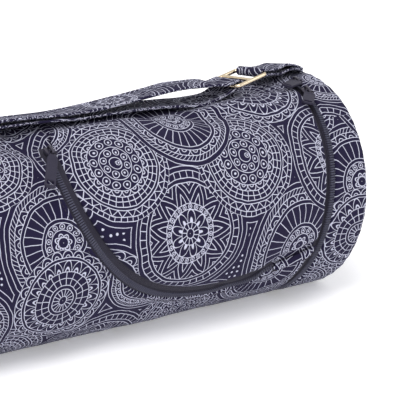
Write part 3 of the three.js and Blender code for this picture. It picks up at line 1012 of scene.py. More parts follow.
def travelled(points: np.ndarray) -> np.ndarray:
    """The way along a line of points, from 0 at the first."""
    return np.concatenate([[0], np.cumsum(np.linalg.norm(np.diff(points, axis=0), axis=1))])


def turn_about(axis: str, degrees: float) -> Matrix:
    """A turn about an axis."""
    return Matrix.Rotation(math.radians(degrees), 4, axis)


def rough_noise(points: np.ndarray, scale: float, seed: float) -> np.ndarray:
    """Soft noise from -1 to 1 at points in metres."""
    flat = points.reshape(-1, 3) / (scale * MM) + seed
    return np.array([noise.noise(Vector(p)) for p in flat]).reshape(points.shape[:-1])


def waves(points: np.ndarray, layers: Iterable[tuple[float, float, float]]) -> np.ndarray:
    """The sum of noise layers, each with its depth, scale and seed."""
    return sum(depth * rough_noise(points, scale, seed) for depth, scale, seed in layers)


class BodyCloth:
    """The cloth tube with its rims, its slot for the end zip and the cap past it."""

    PRINT_SHIFT = (61.0, 38.0)
    SEAM_AT = 81.0
    SEAM_ROWS = (-2.2, -1, 0, 1, 2.2, 4)
    SEAM_TURNS = ((56, 64), (246, 250))
    SEAM_SINK = 0.9
    SEAM_PUFF = 0.5
    PUCKER = 0.35
    PUCKERS_ROUND = 41
    RIM_ANGLES = (96, 80, 60, 40, 20)
    # Beside the slot: the way along from its edge, how far out, and whether the row curls down.
    SLOT_LEFT = ((-2, 0.25, False), (-0.9, 0.1, True), (-0.2, -0.4, True), (0, -1.2, True))
    SLOT_RIGHT = ((0, -1.2, True), (0.2, -0.4, True), (0.9, 0.2, True), (2.4, 0.4, False))
    WAVES = ((0.55, 34, 3.1), (0.3, 13, 8.7))
    WALL = 0.9

    def __init__(self, form: BagForm = FORM) -> None:
        """Takes the bag's shape."""
        self.form = form

    def _curl(self, side: int, angle: float) -> tuple[float, float, bool]:
        """One row of a rolled rim."""
        f, turn = self.form, math.radians(angle)
        along = side * (f.rim - f.rim_curl + f.rim_curl * math.sin(turn))
        return along, -f.rim_curl + f.rim_curl * math.cos(turn), False

    def _profile(self) -> list[tuple[float, float, bool]]:
        """Rows along the bag: the place, how far out, and whether the row curls down at the slot."""
        f = self.form
        flat_end = f.rim - f.rim_curl
        left = stations([-flat_end, -10], 6)
        middle = stations([-10, self.SEAM_AT - 4], 3.6)
        seam = [self.SEAM_AT + d for d in self.SEAM_ROWS]
        right = stations([self.SEAM_AT + 4, f.slot_left - 4], 3.6)
        rows = [self._curl(-1, angle) for angle in self.RIM_ANGLES]
        rows += [(a, 0.0, False) for a in left + middle[1:] + seam + right[1:]]
        rows += [(f.slot_left + a, out, curls) for a, out, curls in self.SLOT_LEFT]
        rows += [(f.slot_right + a, out, curls) for a, out, curls in self.SLOT_RIGHT]
        rows += [(a, 0.0, False) for a in stations([f.slot_right + 5, flat_end], 3.2)]
        rows += [self._curl(1, angle) for angle in reversed(self.RIM_ANGLES)]
        return rows

    def build(self) -> bpy.types.Object:
        """Makes the cloth.

        Returns:
            The finished piece.
        """
        f = self.form
        rows = self._profile()
        marks = [-f.rest_turn, f.hinge_front, f.hinge_back, 180 + f.rest_turn, 360 - f.rest_turn]
        turns = np.array(stations(marks, 2.2))
        along, out, curls = (np.array(column)[:, None] for column in zip(*rows))
        hinge = within((f.hinge_front - 5, f.hinge_front), (f.hinge_back, f.hinge_back + 5), turns)
        out = np.where(curls, out * (1 - hinge), out + 0 * turns)
        seam = within(*self.SEAM_TURNS, turns)
        off_seam = along - self.SEAM_AT
        out = out - self.SEAM_SINK * ridge(off_seam, 1.3) * seam
        out = out + self.SEAM_PUFF * ridge(np.abs(off_seam) - 3, 1.8) * seam
        base = f.skin(along, turns[None, :], 0)
        wave = waves(base, self.WAVES)
        near_rim = (along > f.slot_right) | (np.abs(along) > f.rim - 30)
        pucker = self.PUCKER * np.sin(np.radians(turns) * self.PUCKERS_ROUND)
        pucker = pucker * ridge(np.abs(along) - f.rim + 6, 7) * near_rim
        calm = 1 - 0.7 * ridge(along - f.zip_at, 9)
        points = f.skin(along, turns[None, :], out + wave * calm + pucker, fine=1.0)
        flat = f.flat(along, turns[None, :])
        slot_row = next(i for i, r in enumerate(rows) if r[0] == f.slot_left)

        def keep(i: int, j: int) -> bool:
            on_hinge = f.hinge_front - 0.1 <= turns[j] and turns[j + 1] <= f.hinge_back + 0.1
            return i != slot_row or on_hinge

        def shift(i: int, j: int) -> tuple[float, float]:
            upper = 50 < turns[j] < 250 and along[i, 0] >= self.SEAM_AT
            return self.PRINT_SHIFT if upper else (0.0, 0.0)

        return sheet("body_cloth", points, flat, self.WALL, keep=keep, shift=shift, close=True)


class EndDisc:
    """A round end, slightly domed, tucked behind its rim."""

    SHARES = (1.0, 0.985, 0.96, 0.9, 0.8, 0.66, 0.5, 0.33, 0.16, 0.0)
    DOME = 6.0
    TUCK = 1.6
    TUCK_FROM = 0.93
    WAVE = 0.4
    WAVE_SCALE = 30
    PRINT_AT = (140, 60)
    WALL = 0.9

    def __init__(self, side: int, form: BagForm = FORM) -> None:
        """Takes the end's side, 1 for the right."""
        self.side = side
        self.form = form

    def build(self) -> bpy.types.Object:
        """Makes the disc."""
        f = self.form
        turns = np.array(stations([-f.rest_turn, 360 - f.rest_turn], 3.0))
        edge = -f.rim_curl + 0.4
        ring = f.skin(np.array([self.side * f.rim]), turns, edge)
        centre = np.array([self.side * f.rim, f.side_shift, f.rest_depth]) * MM
        rows = []
        for share in self.SHARES:
            swell = self.DOME * (1 - share**2) - self.TUCK * smooth(self.TUCK_FROM, 1.0, share)
            rows.append(lerp(centre, ring, share) + np.array([self.side * swell * MM, 0, 0]))
        points = np.array(rows)
        points[..., 0] += self.WAVE * MM * rough_noise(points, self.WAVE_SCALE, 5.0 + self.side)
        across, up = self.PRINT_AT
        flat = np.stack([(points[..., 1] / MM) * self.side + across, points[..., 2] / MM + up], -1)
        name = "right_end_cloth" if self.side > 0 else "left_end_cloth"
        return thicken(tidy(cloth_grid(name, points, flat, close=True)), self.WALL)


class PocketZipPath:
    """The pocket zip's middle line on the bag, with its way out to either side."""

    # Above the pocket's side: the way along in millimetres and round in degrees.
    HEAD = ((5.5, 16), (3, 11), (1, 5.5))
    # Past the pocket's corner: the share of the way to the end zip, and the turn in degrees.
    TAIL = ((0.0, -33.0), (0.35, -30.5), (0.52, -24.0), (0.75, -21.5), (1.0, -17.0))

    def __init__(self, form: BagForm = FORM) -> None:
        """Lays out the line as places along and round the bag, both in millimetres."""
        self.form = form
        f = form
        turn_to_mm = 1 / f.deg_per_mm
        corner_end = f.pocket_side + f.corner_length
        tail = f.zip_at - corner_end
        drop = f.pocket_side_turn - f.corner_turn - self.TAIL[0][1]
        line = [(f.pocket_side + along, f.pocket_side_turn + turn) for along, turn in self.HEAD]
        for angle in stations([0, 90], 6):
            a = math.radians(angle)
            along = f.pocket_side + f.corner_length * (1 - math.cos(a))
            line.append((along, f.pocket_side_turn - f.corner_turn * math.sin(a)))
        line += [(corner_end + share * tail, turn + drop) for share, turn in self.TAIL[1:3]]
        points = np.array([(a, t * turn_to_mm, 0.0) for a, t in line])
        self.line = spline(points, 1.0)[:, :2]
        run = directions(np.gradient(self.line, axis=0))
        self.inner = np.stack([-run[:, 1], run[:, 0]], -1)
        self.length = travelled(self.line)[-1]

    def at(self, offset: float, out: float | np.ndarray) -> np.ndarray:
        """Points beside the line.

        Args:
            offset: millimetres to the pocket's side.
            out: millimetres out from the cloth.

        Returns:
            Points in metres.
        """
        place = self.line + self.inner * offset
        return self.form.skin(place[:, 0], place[:, 1] * self.form.deg_per_mm, out, fine=1.0)

    def flat(self, offset: float) -> np.ndarray:
        """The same places on the flat cloth, in millimetres."""
        place = self.line + self.inner * offset
        return self.form.flat(place[:, 0], place[:, 1] * self.form.deg_per_mm)


class PocketPanel:
    """The swelling front pocket, with the cloth above it up to the strap."""

    TOP_TURN = 88.0
    SWELL_TURN = 76
    SIDE_RAISE = 1.6
    SIDE_FADE = 2.2
    FACE_RAISE = 1.5
    END_SINK = 1.2
    TOP_SINK = 0.6
    WAVES = ((0.5, 30, 12.0), (0.25, 12, 4.0))
    WALL = 1.0

    def __init__(self, form: BagForm = FORM) -> None:
        """Takes the bag's shape."""
        self.form = form

    def _low(self, along: np.ndarray) -> np.ndarray:
        """The turn at which the panel begins, over the pocket zip."""
        f = self.form
        inset = f.coil_width / 2 + f.tape_shown
        side = f.pocket_side + inset
        span = f.corner_length - inset
        drop = f.corner_turn - inset * f.deg_per_mm
        share = np.clip(1 - (along - side) / span, -1, 1)
        corner = f.pocket_side_turn - drop * np.sqrt(np.maximum(0, 1 - share**2))
        reach = (along - f.pocket_side - f.corner_length) / (f.zip_at - f.pocket_side - f.corner_length)
        tail = np.interp(reach, [t[0] for t in PocketZipPath.TAIL], [t[1] for t in PocketZipPath.TAIL])
        return np.where(reach < 0, corner, tail + inset * f.deg_per_mm)

    def build(self) -> bpy.types.Object:
        """Makes the panel.

        Returns:
            The finished piece.
        """
        f = self.form
        inset = f.coil_width / 2 + f.tape_shown
        side = f.pocket_side + inset
        right = f.slot_left - 0.1
        angles = np.array(stations([0, 90], 3))
        corner = side + (f.corner_length - inset) * (1 - np.cos(np.radians(angles)))
        straight = stations([corner[-1], right - 2], 3.4)[1:]
        along = np.concatenate([corner, straight, [right - 0.9, right - 0.25, right]])
        along[0] += 0.02
        low = self._low(along)
        tops = [f.pocket_side_turn + 12, f.pocket_side_turn + 26, self.TOP_TURN]
        top = np.interp(along - side, [0, 6, 22], tops)
        shares = np.array(stations([0, 0.012, 0.03, 1], 1 / 46))
        turn = low[:, None] + (top - low)[:, None] * shares[None, :]
        u = ((along - side) / (right - side))[:, None]
        pocket = np.clip((turn - low[:, None]) / (self.SWELL_TURN - low[:, None]), 0, 1)
        swell = f.pocket_swell * (1 - (2 * u - 1) ** 4) * (1 - (2 * pocket - 1) ** 4)
        to_zip = np.minimum(u / 0.04, 1) ** 0.5 * np.minimum(pocket / 0.03, 1) ** 0.5
        to_end = 1 - smooth(right - 1.4, right, along)[:, None]
        raised = self.SIDE_RAISE * to_zip * np.maximum(0, 1 - u * self.SIDE_FADE)
        raised = raised + self.FACE_RAISE * (pocket < 1) * to_zip
        seat = (f.pocket_seat + f.tape_thick + 0.1 + raised) * (1 - smooth(70, 82, turn))
        edge = self.END_SINK * (1 - to_end)
        base = f.skin(along[:, None], turn, 0)
        wave = waves(base, self.WAVES)
        out = seat + swell - edge + wave * np.minimum(u / 0.05, 1) - self.TOP_SINK * smooth(82, 87, turn)
        points = f.skin(along[:, None], turn, out, fine=1.0)
        flat = f.flat(along[:, None], turn) + np.array(BodyCloth.PRINT_SHIFT)
        return sheet("pocket_cloth", points, flat, self.WALL)


class ZipChain:
    """A zip's tape and its closed coil, laid along a line."""

    PITCH = 1.9
    WIDE = 4.5
    BAR_ALONG = 1.25
    BAR_HIGH = 1.5
    BAR_ROUND = 0.42
    BAR_LIFT = 0.35
    WAIST = 0.32
    WAIST_SHARE = 0.3

    def __init__(self, name: str, line: Callable[[float, float], np.ndarray], reach: float) -> None:
        """Takes the zip's name, its places by offset and height, and its length in millimetres."""
        self.name = name
        self.line = line
        self.reach = reach

    def band(self, marks: Sequence[tuple[float, float]], suffix: str, thickness: float) -> bpy.types.Object:
        """A strip of tape.

        Args:
            marks: pairs of an offset and a height across the strip.
            suffix: the end of the piece's name.
            thickness: its wall in millimetres.

        Returns:
            The strip.
        """
        points = np.stack([self.line(offset, height) for offset, height in marks], 1)
        run = np.linspace(0, self.reach, len(points))
        flat = np.stack(np.broadcast_arrays(np.array([m[0] for m in marks])[None, :], run[:, None]), -1)
        return sheet(self.name + suffix, points, flat, thickness)

    def teeth(self, height: float) -> bpy.types.Object:
        """The coil's loops, one small rounded bar for each.

        Args:
            height: how far the loops' feet are out from the cloth.

        Returns:
            All the loops as one piece.
        """
        middle, up, side = self.line(0, height), self.line(0, height + 1), self.line(1, height)
        run = travelled(middle) / MM
        tooth = self._tooth()
        corners = np.array([v.co for v in tooth.data.vertices])
        faces = [tuple(p.vertices) for p in tooth.data.polygons]
        bpy.data.objects.remove(tooth)
        points, made = [], []
        for k, place in enumerate(np.arange(self.PITCH / 2, run[-1], self.PITCH)):
            at, out, beside = (
                np.array([np.interp(place, run, line[:, i]) for i in range(3)]) for line in (middle, up, side)
            )
            z = directions(out - at)
            y = beside - at
            y = directions(y - z * y.dot(z))
            points.append(at + corners @ np.array([np.cross(y, z), y, z]))
            made += [tuple(i + k * len(corners) for i in f) for f in faces]
        piece = link_mesh(self.name + "_teeth", np.concatenate(points), made)
        return smooth_by_angle(tidy(piece), 50)

    def _tooth(self) -> bpy.types.Object:
        """One loop: a bar across the chain with a waist where the two sides meet."""
        pick()
        bpy.ops.mesh.primitive_cube_add(size=1)
        bar = bpy.context.object
        bar.scale = (self.BAR_ALONG * MM, self.WIDE * MM, self.BAR_HIGH * MM)
        settle_size()
        with editing():
            bpy.ops.mesh.bisect(plane_co=(0, 0, 0), plane_no=(0, 1, 0))
            bpy.ops.mesh.select_all(action="SELECT")
            bpy.ops.mesh.bevel(offset=self.BAR_ROUND * MM, segments=1, affect="EDGES")
        for v in bar.data.vertices:
            near = 1 - min(1.0, abs(v.co.y) / (self.WAIST_SHARE * self.WIDE * MM))
            v.co.z -= self.WAIST * MM * near if v.co.z > 0 else 0
            v.co.z += self.BAR_LIFT * MM
        return bar


@dataclass(frozen=True)
class WireSlide:
    """A flat frame of round wire with a bar across its middle; X runs along the strap."""

    inner: float = 33
    length: float = 29
    wire: float = 3.2
    bend_share: float = 0.95
    bar_share: float = 0.94
    sides: int = 14

    def build(self, name: str, pose: Matrix) -> bpy.types.Object:
        """Makes the slide at its place.

        Args:
            name: the piece's name.
            pose: its place and turn in metres.

        Returns:
            The finished piece.
        """
        r = self.wire / 2
        half_x = self.length / 2
        half_y = self.inner / 2 + r
        bend = self.wire * self.bend_share
        x, y = half_x - bend, half_y - bend
        upright = (math.pi / 2, 0, 0)
        pick()
        start = (half_x * MM, -y * MM, 0)
        bpy.ops.mesh.primitive_circle_add(
            vertices=self.sides,
            radius=r * MM,
            location=start,
            rotation=upright,
        )
        frame = bpy.context.object
        settle_size()
        with editing():
            corners = ((x, y, 0), (-x, y, 0), (-x, -y, 0), (x, -y, 0))
            legs = ((0, 2 * y), (-2 * x, 0), (0, -2 * y), (2 * x, 0))
            for corner, leg in zip(corners, legs):
                draw_out(*leg, 0)
                quarter_bend(5, corner, (0, 0, 1))
            weld()
            bpy.ops.mesh.select_all(action="DESELECT")
            bpy.ops.mesh.primitive_cylinder_add(
                vertices=self.sides,
                radius=r * self.bar_share * MM,
                depth=2 * half_y * MM,
                location=(0, 0, 0),
                rotation=upright,
            )
        frame.name = name
        frame.data.transform(pose)
        frame.data.update()
        return smooth_by_angle(frame, 60)


@dataclass(frozen=True)
class StrapSizes:
    """The strap's and its slides' sizes and places, in millimetres."""

    width: float = 30
    thick: float = 1.5
    arch: float = 12.4
    side: float = -4.5
    lead: float = 6
    slide_length: float = 29
    wire: float = 3.2
    slide_at: float = 262.7
    slide_side: float = -2
    slide_rise: float = 8.8
    slide_yaw: float = 7
    slide_pitch: float = 10
    slide_roll: float = 8
    fold_reach: float = 5
    adjuster_from_rim: float = 90
    adjuster_rise: float = 6.2
    tab_side: float = 21


class StrapSet:
    """The carrying strap, its tab and the two wire slides."""

    # Each row: along as a share of the half length, up as a share of the arch, and the tilt in degrees.
    UPPER = (
        (-0.5, 0.5, 3.0),
        (-0.18, 0.72, 8.0),
        (0.16, 0.8, 12.0),
        (0.29, 0.6, 10.0),
        (0.38, 0.57, 7.0),
        (0.48, 0.73, 6.5),
        (0.56, 0.9, 7.0),
        (0.615, 1.0, 5.0),
        (0.665, 0.93, 4.5),
        (0.71, 0.84, 5.0),
    )
    LOWER = (
        (0.722, -0.06, 6.0),
        (0.665, -0.2, 2.0),
        (0.615, -0.075, 3.0),
        (0.56, 0.07, 4.0),
        (0.5, 0.165, 5.0),
        (0.44, 0.19, 6.0),
        (0.36, 0.2, 7.0),
        (0.27, 0.35, 10.0),
        (0.15, 0.45, 12.0),
        (-0.18, 0.35, 8.0),
        (-0.5, 0.2, 3.0),
    )
    # Along, across and up from the slide's bar to the rim, as shares of the way.
    TAB = (
        (0.22, 0.16, 0.92),
        (0.42, 0.4, 0.8),
        (0.6, 0.6, 0.78),
        (0.76, 0.76, 0.56),
        (0.9, 0.9, 0.26),
        (1.0, 1.0, 0.0),
    )
    # Across the band as millimetres in from its edge, and out as shares of half its thickness.
    SECTION = ((0, 0.0), (0.25, 0.72), (0.9, 1.32), (2.0, 1.32), (2.9, 0.84), (4.2, 1.1), (9.0, 1.16))
    STRAP_PRINT = 31
    TAB_PRINT = 96
    TAB_SLACK = 0.38

    def __init__(self, sizes: StrapSizes = StrapSizes(), form: BagForm = FORM) -> None:
        """Works out the slides' places."""
        self.s = sizes
        self.form = form
        turn = turn_about("Z", sizes.slide_yaw) @ turn_about("Y", -sizes.slide_pitch)
        turn = turn @ turn_about("X", -sizes.slide_roll)
        place = form.on_top(sizes.slide_at, sizes.slide_side, sizes.slide_rise)
        self.slide = Matrix.Translation(Vector(place)) @ turn
        self.adjuster_at = sizes.adjuster_from_rim - form.rim
        place = form.on_top(self.adjuster_at, sizes.side, sizes.adjuster_rise)
        self.adjuster = Matrix.Translation(Vector(place))
        self.gap = sizes.wire / 2 + form.clear + sizes.thick / 2
        self.across = np.array(self.slide.to_3x3() @ Vector((0, 1, 0)))

    def _in_slide(self, along: float, rise: float) -> np.ndarray:
        """A row in the right slide's own frame: its point and the way that the width runs."""
        point = self.slide @ Vector((along * MM, 0, rise * MM))
        return np.concatenate([np.array(point), self.across])

    def _on_top(self, along: float, rise: float, tilt: float = 0) -> np.ndarray:
        """A row over the bag's top, tilted by degrees: its point and the way that the width runs."""
        lean = math.radians(tilt)
        place = self.form.on_top(along, self.s.side, rise)
        return np.concatenate([place, [0, math.cos(lean), -math.sin(lean)]])

    @staticmethod
    def _bent(
        centre: tuple[float, float],
        radius: float,
        angles: tuple[float, float, int],
        place: Callable[[float, float], np.ndarray],
    ) -> list[np.ndarray]:
        """Rows round a bar, between two angles in so many steps."""
        start, end, steps = angles
        turns = np.radians(np.linspace(start, end, steps + 1))
        return [place(centre[0] + radius * math.cos(a), centre[1] + radius * math.sin(a)) for a in turns]

    def _strap_rows(self) -> np.ndarray:
        """The strap's middle line from the left rim to the loop on its adjuster."""
        s, f, at = self.s, self.form, self.adjuster_at
        half = s.slide_length / 2
        foot = s.thick / 2 + 2 * f.clear
        loop = self.gap + s.thick + f.clear
        under = s.adjuster_rise - self.gap
        clear_bar = half - s.wire / 2 - f.clear - s.thick / 2
        under_strap = under - s.thick - f.clear
        arched = lambda row: self._on_top(row[0] * f.rim, row[1] * s.arch, row[2])
        rows = [
            self._on_top(-f.rim - f.rim_lean * f.half_rise + f.rim_curl + f.clear, foot),
            self._on_top(lerp(-f.rim, at, 0.4), foot + s.thick),
            self._on_top(at - half - s.lead, under),
            self._on_top(at - clear_bar, under),
            self._on_top(at - loop * 0.9, s.adjuster_rise + loop * 0.72),
            self._on_top(at, s.adjuster_rise + loop),
            self._on_top(at + loop * 0.9, s.adjuster_rise + loop * 0.72),
            self._on_top(at + clear_bar, under),
            self._on_top(at + half + s.lead, under),
        ]
        rows += [arched(row) for row in self.UPPER]
        rows += [self._in_slide(-half - s.fold_reach, self.gap + f.clear), self._in_slide(-half, self.gap)]
        rows += self._bent((s.fold_reach - half, 0), self.gap, (80, -80, 8), self._in_slide)
        rows.append(self._in_slide(-half, -self.gap))
        rows += [arched(row) for row in self.LOWER]
        rows.append(self._on_top(at + half + s.lead, under_strap))
        rows.append(self._on_top(at + clear_bar - s.thick / 2, under_strap))
        rows.append(self._on_top(at + s.wire, under + f.clear / 2))
        rows += self._bent((at, s.adjuster_rise), self.gap, (-90, -290, 8), self._on_top)
        return np.array(rows)

    def _tab_rows(self) -> np.ndarray:
        """The tab's middle line, from the rim round the slide's right bar and back."""
        s, f = self.s, self.form
        half = s.slide_length / 2
        bar = self._in_slide(half, 0)
        rim_top = f.rim + f.rim_lean * f.half_rise - f.rim_curl - f.clear
        roll = math.asin(s.tab_side / f.half_width)
        apart = (s.thick + f.clear) / 2
        low = f.top_level - f.half_rise * (1 - math.cos(roll)) + s.thick / 2 + 2 * f.clear
        rim_across = np.array([0, math.cos(roll), -math.sin(roll)])

        def strand(lift: float) -> list[np.ndarray]:
            rows = []
            for share, side, rise in self.TAB:
                rise *= 1 if lift else 1 - self.TAB_SLACK * math.sin(math.pi * share) ** 2
                point = np.array(
                    [
                        lerp(bar[0], rim_top * MM, share),
                        lerp(bar[1], (s.tab_side + f.side_shift) * MM, side),
                        lerp(low * MM, bar[2] - apart * MM, rise) + lift * MM,
                    ]
                )
                rows.append(np.concatenate([point, lerp(self.across, rim_across, share)]))
            return rows

        wrap = self._bent((half, 0), self.gap, (-60, -300, 10), self._in_slide)
        return np.array(strand(0)[::-1] + wrap + strand(2 * apart))

    def _section(self) -> np.ndarray:
        """The band's closed section: across in millimetres, out as a share of half its thickness."""
        half = self.s.width / 2
        upper = [(x - half, y) for x, y in self.SECTION]
        top = upper + [(-x, y) for x, y in upper[::-1]]
        return np.array(top + [(x, -y) for x, y in top[::-1]][1:-1])

    def _sweep(self, name: str, rows: np.ndarray, lead: float) -> bpy.types.Object:
        """Sweeps the band's section along its middle line.

        Args:
            name: the piece's name.
            rows: points and the way that the width runs.
            lead: where this cut lies on the printed cloth, in millimetres.

        Returns:
            The band.
        """
        half, thick = self.s.width / 2, self.s.thick / 2
        section = self._section()
        curve = spline(rows, 2.2 * MM)
        at, across = curve[:, :3], directions(curve[:, 3:])
        up = directions(np.cross(directions(np.gradient(at, axis=0)), across))
        run = travelled(at) / MM
        wobble = 0.25 * np.sin(run / 9.0)[:, None] + 0.2 * np.sin(run / 3.7 + 1.0)[:, None]
        side = section[None, :, 0]
        y = side + wobble * np.sign(side) * (np.abs(side) > half - 1)
        z = np.broadcast_to(section[None, :, 1] * thick, y.shape)
        points = at[:, None, :] + (across[:, None, :] * y[..., None] + up[:, None, :] * z[..., None]) * MM
        points = np.concatenate([points, points[:, :1]], axis=1)
        around = travelled(np.vstack([section, section[:1]]) * (1, thick))
        flat = np.stack(np.broadcast_arrays(run[:, None], around[None, :] + lead), -1)
        piece = cloth_grid(name, points, flat, close=True)
        pick(piece)
        with editing():
            bpy.ops.mesh.select_mode(type="EDGE")
            bpy.ops.mesh.select_all(action="DESELECT")
            bpy.ops.mesh.select_non_manifold()
            bpy.ops.mesh.edge_face_add()
            bpy.ops.mesh.select_all(action="SELECT")
            bpy.ops.mesh.normals_make_consistent(inside=False)
        return smooth_by_angle(piece, 70)

    def build(self, wardrobe: Wardrobe) -> None:
        """Makes and dresses the strap, the tab and both slides."""
        wardrobe.dress(self._sweep("strap_band", self._strap_rows(), self.STRAP_PRINT), Slot.CLOTH, ["strap"])
        wardrobe.dress(self._sweep("tab_band", self._tab_rows(), self.TAB_PRINT), Slot.CLOTH, ["strap_tab"])
        slide = WireSlide(length=self.s.slide_length, wire=self.s.wire)
        wardrobe.dress(slide.build("slide_wire", self.slide), Slot.GOLD, ["strap_slide"])
        wardrobe.dress(slide.build("adjuster_wire", self.adjuster), Slot.GOLD, ["strap_adjuster"])


@dataclass(frozen=True)
class PullSpec:
    """How one slider sits on its zip and how its pull hangs."""

    name: str
    along: float
    turn: float
    out: float
    swing: float
    pitch: float
    length: float
    width: float


@dataclass(frozen=True)
class SliderPair:
    """A zip slider with its bridge, and the pull that hangs on it."""

    spec: PullSpec
    length: float = 10
    width: float = 8
    thick: float = 2.2
    crown: float = 0.35
    nose_taper: float = 0.34
    tail_taper: float = 0.08
    bridge_wire: float = 1.1
    bridge_width: float = 2
    bridge_at: float = 4.2
    bridge_bend: float = 0.6
    bridge_sink: float = 0.2
    eye_inner: float = 2.3
    eye_wire: float = 1.1
    pull_thick: float = 1.9
    neck_taper: float = 0.4
    neck_share: float = 0.16
    end_round: float = 0.9
    slot_from: float = 0.78
    slot_to: float = 0.92
    pad_share: float = 0.62
    pad_sink: float = 0.3

    def _pose(self) -> Matrix:
        """The slider's place: X down the zip, Y across it and Z out from the cloth."""
        p = self.spec

        def at(along: float, turn: float) -> np.ndarray:
            return FORM.skin(np.array(p.along + along), np.array(p.turn + turn), p.out)

        down = directions(at(0, -2) - at(0, 2))
        left = at(-2, 0) - at(2, 0)
        left = directions(left - down * left.dot(down))
        out = np.cross(left, down)
        out = out if out[2] > 0 else -out
        turn = Matrix(np.array([down, np.cross(out, down), out]).T.tolist()).to_4x4()
        return Matrix.Translation(Vector(at(0, 0))) @ turn

    def _plate(self) -> bpy.types.Object:
        """The slider's body: a rounded plate that narrows along the zip and has a slight crown."""
        pick()
        bpy.ops.mesh.primitive_cube_add(size=1, location=(0, 0, self.thick / 2 * MM))
        plate = bpy.context.object
        plate.scale = (self.length * MM, self.width * MM, self.thick * MM)
        settle_size()
        with editing():
            bpy.ops.mesh.subdivide(number_cuts=3)
        for v in plate.data.vertices:
            share = v.co.x / (self.length / 2 * MM)
            v.co.y *= 1 - self.nose_taper * max(0.0, share - 0.1) - self.tail_taper * max(0.0, -share - 0.6)
            crown = 1 - (v.co.y / (self.width / 2 * MM)) ** 2
            if v.co.z > self.thick * 0.6 * MM:
                v.co.z += self.crown * MM * crown * (1 - share**2)
        round_edges(plate, 0.4, 40)
        return plate

    def _bridge(self) -> bpy.types.Object:
        """The bridge over the plate that the pull hangs on."""
        foot = self.bridge_at - self.bridge_wire / 2
        rise = self.eye_wire + 0.9
        straight = rise - self.bridge_bend
        centre_high = self.thick - self.bridge_sink + straight
        pick()
        start = (-foot * MM, 0, (self.thick - self.bridge_sink) * MM)
        bpy.ops.mesh.primitive_plane_add(size=1, location=start)
        bridge = bpy.context.object
        bridge.scale = (self.bridge_wire * MM, self.bridge_width * MM, 1)
        settle_size()
        centre_along = foot - self.bridge_wire / 2 - self.bridge_bend
        with editing():
            draw_out(0, 0, straight)
            quarter_bend(4, (-centre_along, 0, centre_high), (0, 1, 0))
            draw_out(2 * centre_along, 0, 0)
            quarter_bend(4, (centre_along, 0, centre_high), (0, 1, 0))
            draw_out(0, 0, -straight)
            weld()
        round_edges(bridge, 0.25, 60)
        return bridge

    def _slider(self, pose: Matrix) -> bpy.types.Object:
        """The slider: its plate with the bridge over it."""
        plate, bridge = self._plate(), self._bridge()
        pick(plate, bridge)
        bpy.ops.object.join()
        plate.name = self.spec.name + "_slide_body"
        plate.data.transform(pose)
        return smooth_by_angle(plate, 40)

    def _pull(self, pose: Matrix) -> bpy.types.Object:
        """The pull: a wire eye and a soft tab with rounded corners."""
        p = self.spec
        wire = self.eye_wire / 2
        pick()
        bpy.ops.mesh.primitive_torus_add(
            major_radius=(self.eye_inner + wire) * MM,
            minor_radius=wire * MM,
            major_segments=28,
            minor_segments=10,
        )
        eye = bpy.context.object
        tab = self._framed_tab()
        pick(tab, eye)
        bpy.ops.object.join()
        tab.name = p.name + "_pull_tab"
        swing = turn_about("Z", p.swing) @ turn_about("Y", p.pitch)
        dip = (self.eye_inner + self.eye_wire) * max(0.0, -math.sin(math.radians(p.pitch)))
        hook = (self.bridge_at - self.bridge_wire / 2, 0, self.thick + 0.3 + dip + wire)
        tab.data.transform(pose @ Matrix.Translation(Vector(hook) * MM) @ swing)
        return smooth_by_angle(tab, 40)

    def _framed_tab(self) -> bpy.types.Object:
        """The pull's tab: a pad sunk between raised edges, with an open slot before its end."""
        p = self.spec
        start = self.eye_inner + self.eye_wire * 0.4
        half = p.width / 2 * MM
        middle = ((start + p.length / 2) * MM, 0, 0)

        def share_of(x: float) -> float:
            return (x / MM - start) / p.length

        pick()
        bpy.ops.mesh.primitive_grid_add(x_subdivisions=24, y_subdivisions=12, size=1, location=middle)
        tab = bpy.context.object
        tab.scale = (p.length * MM, p.width * MM, 1)
        settle_size()
        for v in tab.data.vertices:
            share = share_of(v.co.x)
            neck = 1 - self.neck_taper * max(0.0, 1 - share / self.neck_share) ** 1.5
            near_end = max(0.0, (share - 0.9) / 0.1)
            v.co.x -= self.end_round * MM * near_end * (abs(v.co.y) / half) ** 4
            v.co.y *= neck * (1 - 0.06 * near_end)
        with editing():
            bpy.ops.mesh.select_all(action="DESELECT")
        for face in tab.data.polygons:
            in_slot = self.slot_from < share_of(face.center.x) < self.slot_to
            face.select = in_slot and abs(face.center.y) < half * self.pad_share
        bpy.ops.object.mode_set(mode="EDIT")
        bpy.ops.mesh.delete(type="FACE")
        bpy.ops.object.mode_set(mode="OBJECT")
        with editing():
            draw_out(0, 0, self.pull_thick)
            bpy.ops.mesh.select_all(action="SELECT")
            bpy.ops.mesh.normals_make_consistent(inside=False)
        for v in tab.data.vertices:
            share = share_of(v.co.x)
            rim = max(smooth(self.pad_share, 0.84, abs(v.co.y) / half), smooth(0.9, 0.97, share))
            low = self.pad_sink * (1 - float(rim)) * float(smooth(0.08, self.neck_share, share))
            v.co.z = (v.co.z - self.pull_thick / 2 * MM) * (1 - low)
        round_edges(tab, 0.3, 60)
        return tab

    def build(self, wardrobe: Wardrobe) -> None:
        """Makes and dresses the slider and its pull."""
        pose = self._pose()
        wardrobe.dress(self._slider(pose), Slot.METAL, [self.spec.name + "_slider"])
        wardrobe.dress(self._pull(pose), Slot.RUBBER, [self.spec.name + "_pull"])


